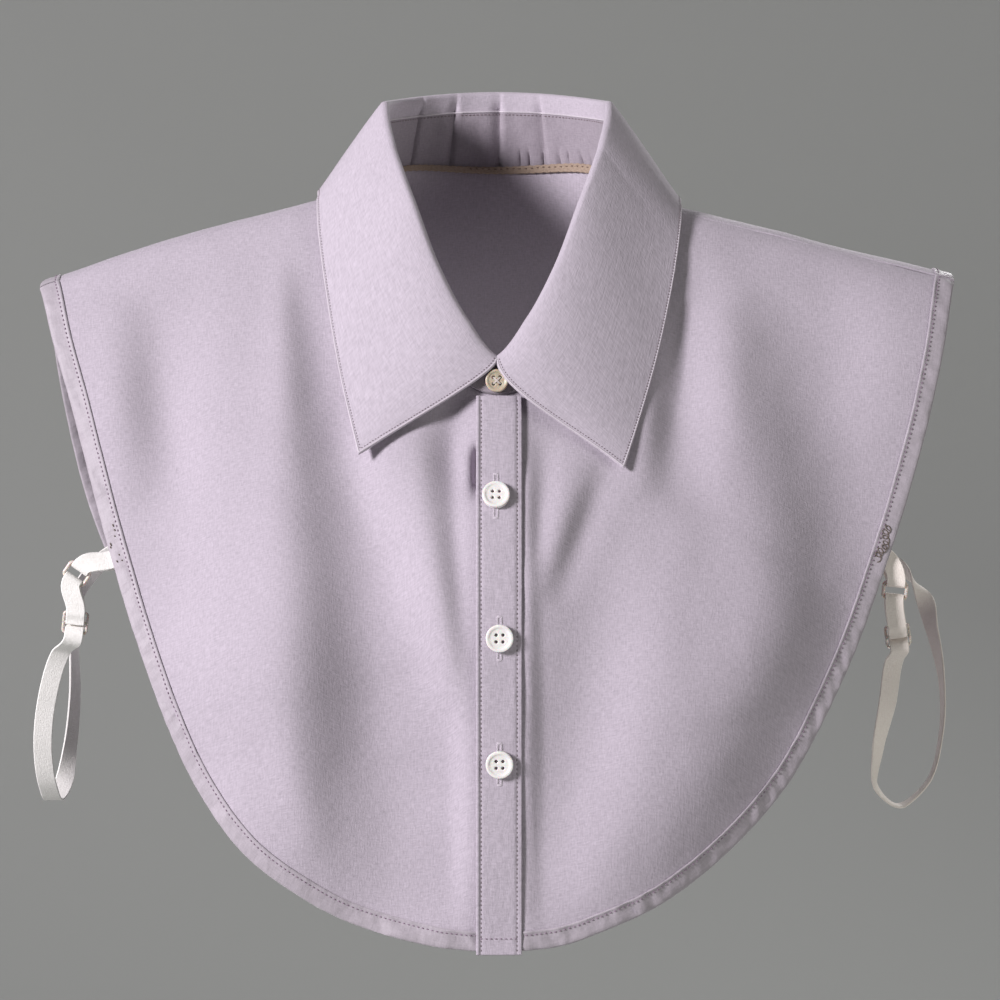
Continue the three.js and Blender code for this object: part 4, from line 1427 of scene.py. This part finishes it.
def place_button(name, diameter, material, slot, node, at, direction):
    points, faces = button_body(diameter / 2)
    turn = Vector((0, 0, 1)).rotation_difference(direction).to_matrix()
    flat = [(point[0], point[1]) for point in points]
    placed = [at + turn @ Vector(point) for point in points]
    make_piece(name, placed, faces, flat, material, slot, [node])
    return turn


for index, button in enumerate(buttons, 1):
    x, lap = button["aside"], front_lap(button["aside"], -button["drop"])
    at = body(x, lap) + outward(x, lap) * (placket_lift + 0.9)
    name = f"shell_button_{index}"
    node = f"front_button_{index}"
    place_button(name, button_diameter, shell, "shell", node, at, outward(x, lap))

collar_button_drop = 80.3  # neck point down to its middle
low = stand_point(-1, 180, 0)
up = (stand_point(-1, 180, 1) - low).normalized()
direction = Vector((1, 0, 0)).cross(up).normalized()
if direction.y > 0:
    direction = -direction
at = low + up * ((-collar_button_drop - low.z) / up.z) + direction * button_seat
size = collar_button_diameter
turn = place_button("horn_button", size, horn, "horn", "collar_button", at, direction)
cross_reach = 1.5  # middle of the button out to the ends of its crossed threads
cross_height = 1.9
crossed = []
for side in (-1, 1):
    for beside in (-0.22, 0.22):
        low = Vector((beside - side * cross_reach, -cross_reach, cross_height))
        high = Vector((beside + side * cross_reach, cross_reach, cross_height))
        crossed.append((at + turn @ low, at + turn @ high, turn @ Vector((0, 0, 1))))
stitch_piece("horn_button_thread", crossed, button_thread, "horn", 0.24)

# Straps
# On each side a short tab of woven elastic is sewn behind the edge of the front and holds a small
# clear ring. A longer strap passes through the ring and the slider that sets its length, and
# hangs in a loop to the edge of the back.

strap_width = 7.4
strap_thickness = 0.9
strap_drop = 155  # neck point down to where the straps are sewn to the front
strap_drop_back = 166
strap_lap = 6  # length of strap behind the edge that it is sewn to
strap_swing = 32  # how far the loops stand out sideways
loop_drop = 115  # how far they hang below where they are sewn on
ring_height = 6.6
ring_wire = 1.5
ring_play = 0.8
ring_corner = 1.4
slider_bar = 1.2
slider_slot = 3.2
slider_side = 1.3
slider_corner = 1.3
wire_sides = 14
ribbon_steps = 8  # steps of a strap's mesh across it
behind_edge = 2.0  # middle of the bib in to the middle of the straps
ring_wrap = 1.55  # middle of the ring's bar out to the middle of a strap turned round it
slider_layer = 1.4  # middle of the slider out to the strap on it
outer_layer = 2.7  # and to the strap over that one

# Loops on their way from the front to the back: out as a share of the swing, back as a share of the
# way, down as a share of the drop, and the strap's width turned and tilted by degrees.
left_loop = table(
    "out back down turn tilt",
    (0.7, 0.1, 0.35, 0, 0),
    (0.89, 0.19, 0.53, 0, 0),
    (0.95, 0.27, 0.72, 0, 0),
    (0.88, 0.37, 0.87, 4, 0),
    (0.8, 0.46, 0.92, 8, 0),
    (0.68, 0.535, 0.87, 15, 0),
    (0.57, 0.6, 0.72, 50, 0),
    (0.5, 0.68, 0.52, 62, 0),
    (0.5, 0.78, 0.34, 70, -10),
    (0.45, 0.89, 0.15, 45, -40),
    (0.2, 0.96, 0.05, 15, -65),
)
right_loop = table(
    "out back down turn tilt",
    (0.12, 0.06, 0.38, 5, 0),
    (0.04, 0.1, 0.54, 12, 0),
    (-0.07, 0.17, 0.72, 50, 0),
    (-0.06, 0.26, 0.87, 80, 0),
    (0.26, 0.35, 0.94, 90, 0),
    (0.65, 0.43, 0.86, 90, 0),
    (0.86, 0.52, 0.67, 93, 0),
    (0.88, 0.62, 0.47, 100, 0),
    (0.78, 0.75, 0.29, 118, 5),
    (0.64, 0.87, 0.14, 150, 40),
    (0.38, 0.95, 0.05, 170, 65),
)
# The right strap's colours are a cream tone set brighter than the left's. This is partly its own
# tone and partly painted light, which makes up for the shadow that the front bib casts on it.
strap_sides = table(
    "sign ring_out ring_down ring_turn slider_out slider_down slider_turn loop light dark",
    (-1, 16, 6, -35, 17, 27, -6, left_loop, tint(252, 251, 248), tint(232, 229, 224)),
    (1, 4, 13.5, -6, 5.5, 33, 8, right_loop, tint(255, 248, 240), tint(244, 232, 224)),
)


def elastic_finish(name, dark, light):
    """Knitted elastic: fine ribs along the strap, crossed by its weft."""

    def ribs(flat):
        return flat.stretched(420, 2600) * 0.5 + flat.stretched(1700, 500) * 0.5

    return finish(
        name,
        lambda flat, place: (0.5 + (ribs(flat) - 0.5) * 1.6).between(dark, light),
        lambda flat, place: 0.62 + ribs(flat) * 0.2,
        lambda flat, place: ribs(flat),
        0.00025,
        Sheen_Weight=0.2,
    )


nylon = grained(
    "clear_nylon",
    tint(238, 221, 212),
    tint(250, 240, 232),
    (200, 200),
    (0.2, 0.15, 300, 300),
    (300, 300),
    0.00005,
    Transmission_Weight=0.3,
    IOR=1.45,
    Subsurface_Weight=0.2,
    Subsurface_Scale=0.002,
    Coat_Weight=0.2,
)


def share_at_drop(places, drop):
    """Share along an edge at which it has come down by drop, found by halving."""
    low, high = 0, 1
    for _ in range(30):
        middle = (low + high) / 2
        x, lap = along_curve(places, middle)
        if ridge(x) - lap * lap > -drop:
            low = middle
        else:
            high = middle
    return low


def smooth_path(sections, spacing=1.0):
    """Sections (point, direction across) along a smooth path through the given ones."""
    points = [at for at, _ in sections]
    lengths = [(b - a).length for a, b in zip(points, points[1:])]
    ways = [(b - a) / length for a, b, length in zip(points, points[1:], lengths)]
    slopes = [ways[0]]
    for i in range(1, len(ways)):
        slopes.append(ways[i - 1].lerp(ways[i], lengths[i - 1] / (lengths[i - 1] + lengths[i])))
    slopes.append(ways[-1])
    smooth = []
    for i, length in enumerate(lengths):
        count = max(2, math.ceil(length / spacing))
        for k in range(count):
            t = k / count
            start = points[i] + slopes[i] * length / 3
            end = points[i + 1] - slopes[i + 1] * length / 3
            at = bezier(points[i], start, end, points[i + 1], t)
            smooth.append((at, sections[i][1].lerp(sections[i + 1][1], t)))
    return smooth + [sections[-1]]


def ribbon_grid(sections):
    """Rows of points across a strap, along its sections (point, direction across)."""
    smooth = smooth_path(sections)
    grid = []
    for i, (at, across) in enumerate(smooth):
        along = (smooth[min(i + 1, len(smooth) - 1)][0] - smooth[max(i - 1, 0)][0]).normalized()
        flat = (across - along * across.dot(along)).normalized()
        grid.append([at + flat * (part - 0.5) * strap_width for part in steps(ribbon_steps)])
    return grid


def middle_line(grid):
    return [row[ribbon_steps // 2] for row in grid]


def rounded_frame(centre, across, up, half_width, half_height, corner):
    """Path round a rectangle with round corners, in the plane of two directions."""
    path = []
    for quarter in range(4):
        x = half_width - corner if quarter in (0, 3) else corner - half_width
        z = half_height - corner if quarter < 2 else corner - half_height
        for share in steps(8):
            angle = 90 * (quarter + share)
            aside = across * (x + corner * cosine(angle))
            path.append(centre + aside + up * (z + corner * sine(angle)))
    return path


def picture_frame(angle):
    """Directions across and up in the plane of the picture, turned by an angle."""
    return Vector((cosine(angle), 0, sine(angle))), Vector((-sine(angle), 0, cosine(angle)))


near = Vector((0, -1, 0))  # towards someone who faces the front


def sewn_place(sign, facing_front, share, inset, depth):
    """Point at a depth behind a bib's edge."""
    if facing_front:
        x, lap = along_curve(front_edge_places(sign, inset), share)
        return front_cloth(x, lap, inset) - outward(x, lap) * depth
    edge = back_edge_places(sign, inset)
    normal = outward(*along_curve(edge, share))
    form = back_form(sign, edge, (1 - share) * seam_turn, 1)
    return back_cloth(form, normal, inset) - normal * depth


def strap_side(side):
    """All pieces of the strap on one side. Gives back its mesh rows and the share at its tab."""
    sign = side["sign"]
    name = side_name(sign)
    front_share = share_at_drop(front_edge_places(sign, 0), strap_drop)
    back_share = share_at_drop(back_edge_places(sign, 0), strap_drop_back)

    def front_inside(inset, depth=behind_edge, share=front_share):
        return sewn_place(sign, True, share, inset, depth)

    def back_inside(inset, share=back_share):
        return sewn_place(sign, False, share, inset, behind_edge)

    # Ring and slider
    ring_across, ring_up = picture_frame(side["ring_turn"])
    sewn = front_inside(0, behind_edge + ring_wrap)
    ring_at = sewn + Vector((sign * side["ring_out"], 0, -side["ring_down"]))
    half_width = (strap_width + ring_play + ring_wire) / 2
    path = rounded_frame(ring_at, ring_across, ring_up, half_width, ring_height / 2, ring_corner)
    ring = wire(path, [near] * len(path), ring_wire / 2, True, wire_sides)
    make_piece(f"ring_{name}", *ring, nylon, "nylon", [f"strap_ring_{name}"])

    lie_across, lie_up = picture_frame(side["slider_turn"])
    slider_at = sewn + Vector((sign * side["slider_out"], ring_wrap, -side["slider_down"]))
    pitch = slider_bar + slider_slot
    half_width = strap_width / 2 + slider_side
    path = rounded_frame(slider_at, lie_across, lie_up, half_width, pitch, slider_corner)
    parts = [wire(path, [near] * len(path), slider_bar / 2, True, wire_sides)]
    half_bar = lie_across * (half_width + 0.5)
    path = [slider_at + half_bar * lerp(-1, 1, share) for share in steps(8)]
    parts.append(wire(path, [near] * len(path), slider_bar / 2, False, wire_sides))
    make_piece(f"slider_{name}", *joined(parts), nylon, "nylon", [f"strap_slider_{name}"])

    # Tab
    def turn_round(bar, inward):
        """Points of a strap turned round one bar of the ring."""
        at = ring_at + ring_up * bar * ring_height / 2
        inwards = ring_up * inward
        angles = range(0, 181, 30)
        return [at + (near * cosine(a) + inwards * sine(a)) * ring_wrap for a in angles]

    above, below = (front_inside(0, share=front_share + step) for step in (-0.01, 0.01))
    edge_along = (above - below).normalized()
    tab = [(front_inside(strap_lap), edge_along), (front_inside(0), edge_along)]
    tab += [(at, ring_across * sign) for at in turn_round(1, -1)]
    tab.append((front_inside(-1, behind_edge + 2 * ring_wrap), edge_along))
    elastic = elastic_finish(f"elastic_{name}", side["dark"], side["light"])
    slot = f"elastic_{name}"

    def elastic_piece(title, sections, node):
        grid = ribbon_grid(sections)
        middle = middle_line(grid)
        step = sum((b - a).length for a, b in zip(middle, middle[1:])) / len(grid)

        def along_strap(i, j, point):
            return (i * step, j * strap_width / ribbon_steps)

        sheet_piece(title, grid, strap_thickness, along_strap, elastic, slot, [node])
        return grid

    elastic_piece(f"tab_{name}", tab, f"strap_tab_{name}")

    # Strap
    def through(height, depth):
        return slider_at + lie_up * height + near * depth, lie_across

    start, end = front_inside(0), back_inside(0)
    looped = []
    for row in side["loop"]:
        at = start.lerp(end, row["back"])
        at += Vector((sign * row["out"] * strap_swing, 0, -row["down"] * loop_drop))
        turn, tilt = row["turn"], row["tilt"]
        level = Vector((cosine(turn), sine(turn), 0)) * cosine(tilt)
        looped.append((at, level + Vector((0, 0, sine(tilt)))))
    above, below = (back_inside(0, back_share + step) for step in (-0.01, 0.01))
    back_along = (above - below).normalized() * sign
    strap = [
        through(-slider_bar / 2, slider_layer),
        through(slider_bar, slider_layer),
        through(pitch - slider_bar / 2, outer_layer),
        through(pitch + slider_bar / 2, outer_layer),
    ]
    strap += [(at, ring_across) for at in turn_round(-1, 1)]
    strap += [
        through(pitch + slider_bar / 2, slider_layer),
        through(pitch - slider_bar / 2, slider_layer),
        through(slider_bar / 2, -slider_layer),
        through(-slider_bar / 2, -slider_layer),
        through(-pitch + slider_bar / 2, slider_layer),
        through(-pitch - slider_bar, slider_layer),
    ]
    strap += looped
    strap += [(back_inside(inset), back_along) for inset in (-2, 0, strap_lap)]
    return elastic_piece(f"loop_strap_{name}", strap, f"strap_{name}"), front_share


left_strap, right_strap = (strap_side(side) for side in strap_sides)
tab_shares = {-1: left_strap[1], 1: right_strap[1]}

# Tacks where the tabs are sewn on
# The tabs are caught through the binding with a brown thread: on the left with a few loose single
# stitches, and on the right with an untidy curl of it.

edge_length = bib_length * 1.35  # about the length of a front's edge
tack_height = 1.05


def on_binding(sign, down, inset):
    """Point and normal on the front binding, down from where the tab is sewn on."""
    share = tab_shares[sign] + down / edge_length
    normal = outward(*along_curve(front_edge_places(sign, inset), share))
    return front_binding_point(sign, share, inset, tack_height), normal


left_tacks = table(
    "down inset length",
    (-13, 5, 1.4),
    (-10.6, 5.1, 1.1),
    (-8, 4.4, 0.8),
    (-6, 1.6, 1.8),
    (-4.6, 1.2, 1.2),
    (0.4, 4, 0.9),
    (2.6, 2.4, 1.1),
    (3.4, 4.6, 0.8),
)
tacks = []
for tack in left_tacks:
    start, normal = on_binding(-1, tack["down"], tack["inset"])
    end, _ = on_binding(-1, tack["down"] + tack["length"], tack["inset"] + 0.3)
    tacks.append((start, end, normal))
stitch_piece("tab_tacks_left", tacks, tack_thread, "binding_cotton", 0.26)

curls = 7
curl_start = -11.5  # from where the tab is sewn on down to the curl's ends
curl_end = 3.5
curl_inset = 4.2
curl_path = []
curl_normals = []
for share in steps(180):
    angle = 360 * curls * share
    down = lerp(curl_start, curl_end, share) + 1.3 * cosine(angle)
    inset = curl_inset + 1.5 * sine(angle) + 0.9 * math.sin(9 * share)
    point, normal = on_binding(1, down, inset)
    curl_path.append(point + normal * 0.12 * (1 + math.sin(23 * share)))
    curl_normals.append(normal)
curl = wire(curl_path, curl_normals, 0.2, sides=7)
make_piece("tab_tacks_right", *curl, tack_thread, "binding_cotton")

# Stitched end of the right strap
# The strap's own end is doubled over the ring and closed with a row of zigzag stitches.

zigzag_rise = 8.5  # end of the strap up to its stitches
zigzag_count = 6
doubled = right_strap[0]
heights = [point.z - doubled[0][ribbon_steps // 2].z for point in middle_line(doubled)]
nearest = min(range(len(heights) // 3), key=lambda i: abs(heights[i] - zigzag_rise))
corners = []
for k in range(zigzag_count + 1):
    row = doubled[nearest + 2 * (k % 2)]
    lift = near * (strap_thickness / 2 + 0.05)
    corners.append(row[1].lerp(row[ribbon_steps - 1], k / zigzag_count) + lift)
zigzag = [(a, b, near) for a, b in zip(corners, corners[1:])]
stitch_piece("strap_zigzag", zigzag, button_thread, "elastic_right", 0.2)

# Studio
# A pale seamless sweep stands far behind and below the collar. One large soft lamp shines from
# the left, a weaker one fills the right, and two small ones light the shoulders and the back.

aim = Vector((1.3, -60, -130)) * MM  # the middle of the picture
camera_distance = 1.9
camera_rise = 5  # degrees above level
millimetres_per_pixel = 0.42
picture_pixels = 1000
sensor_width = 36


def facing_aim(thing, position):
    thing.location = position
    thing.rotation_euler = (aim - position).to_track_quat("-Z", "Y").to_euler()


def stand_up(name, data):
    thing = bpy.data.objects.new(name, data)
    bpy.context.scene.collection.objects.link(thing)
    return thing


floor_level = -0.9
sweep_front = -2.2
sweep_back = 3
sweep_bend = 0.9
sweep_half = 4
sweep_top = 4
profile = [(sweep_front, 0)]
for angle in range(0, 91, 5):
    out, up = sine(angle), 1 - cosine(angle)
    profile.append((sweep_back - sweep_bend + sweep_bend * out, sweep_bend * up))
profile.append((sweep_back, sweep_top))
sweep_points = [(x, y, floor_level + z) for x in (-sweep_half, sweep_half) for y, z in profile]
rows = len(profile)
sweep_faces = [(i, i + rows, i + rows + 1, i + 1) for i in range(rows - 1)]
sweep_mesh = bpy.data.meshes.new("sweep")
sweep_mesh.from_pydata(sweep_points, [], sweep_faces)
sweep_mesh.shade_smooth()
paper = bpy.data.materials.new("backdrop_paper")
paper.use_nodes = True
paper_surface = paper.node_tree.nodes["Principled BSDF"]
paper_surface.inputs["Base Color"].default_value = tint(176, 178, 175)
paper_surface.inputs["Roughness"].default_value = 0.95
sweep_mesh.materials.append(paper)
stand_up("sweep", sweep_mesh)

lamps = table(
    "name at size watts shade",
    ("key_lamp", (-2.45, -1.85, 0.92), 0.7, 144, (1, 0.96, 1)),
    ("fill_lamp", (1.65, -1.0, 0.1), 0.9, 10, (1, 1, 0.95)),
    ("back_lamp", (0.9, 2, 0.9), 0.8, 20, (1, 1, 1)),
    ("top_lamp", (0.2, 0.6, 1.4), 0.8, 3, (1, 1, 1)),
)
for lamp in lamps:
    light = bpy.data.lights.new(lamp["name"], "AREA")
    light.size = lamp["size"]
    light.energy = lamp["watts"]
    light.color = lamp["shade"]
    facing_aim(stand_up(lamp["name"], light), Vector(lamp["at"]))

room_light = (0.038, 0.04, 0.037, 1)
world = bpy.data.worlds.new("soft_room")
world.use_nodes = True
world.node_tree.nodes["Background"].inputs["Color"].default_value = room_light
scene = bpy.context.scene
scene.world = world
scene.view_settings.view_transform = "Standard"

lens = bpy.data.cameras.new("camera")
lens.sensor_width = sensor_width
lens.lens = sensor_width * camera_distance / (millimetres_per_pixel * picture_pixels * MM)
camera = stand_up("camera", lens)
facing_aim(camera, aim + Vector((0, -cosine(camera_rise), sine(camera_rise))) * camera_distance)
scene.camera = camera
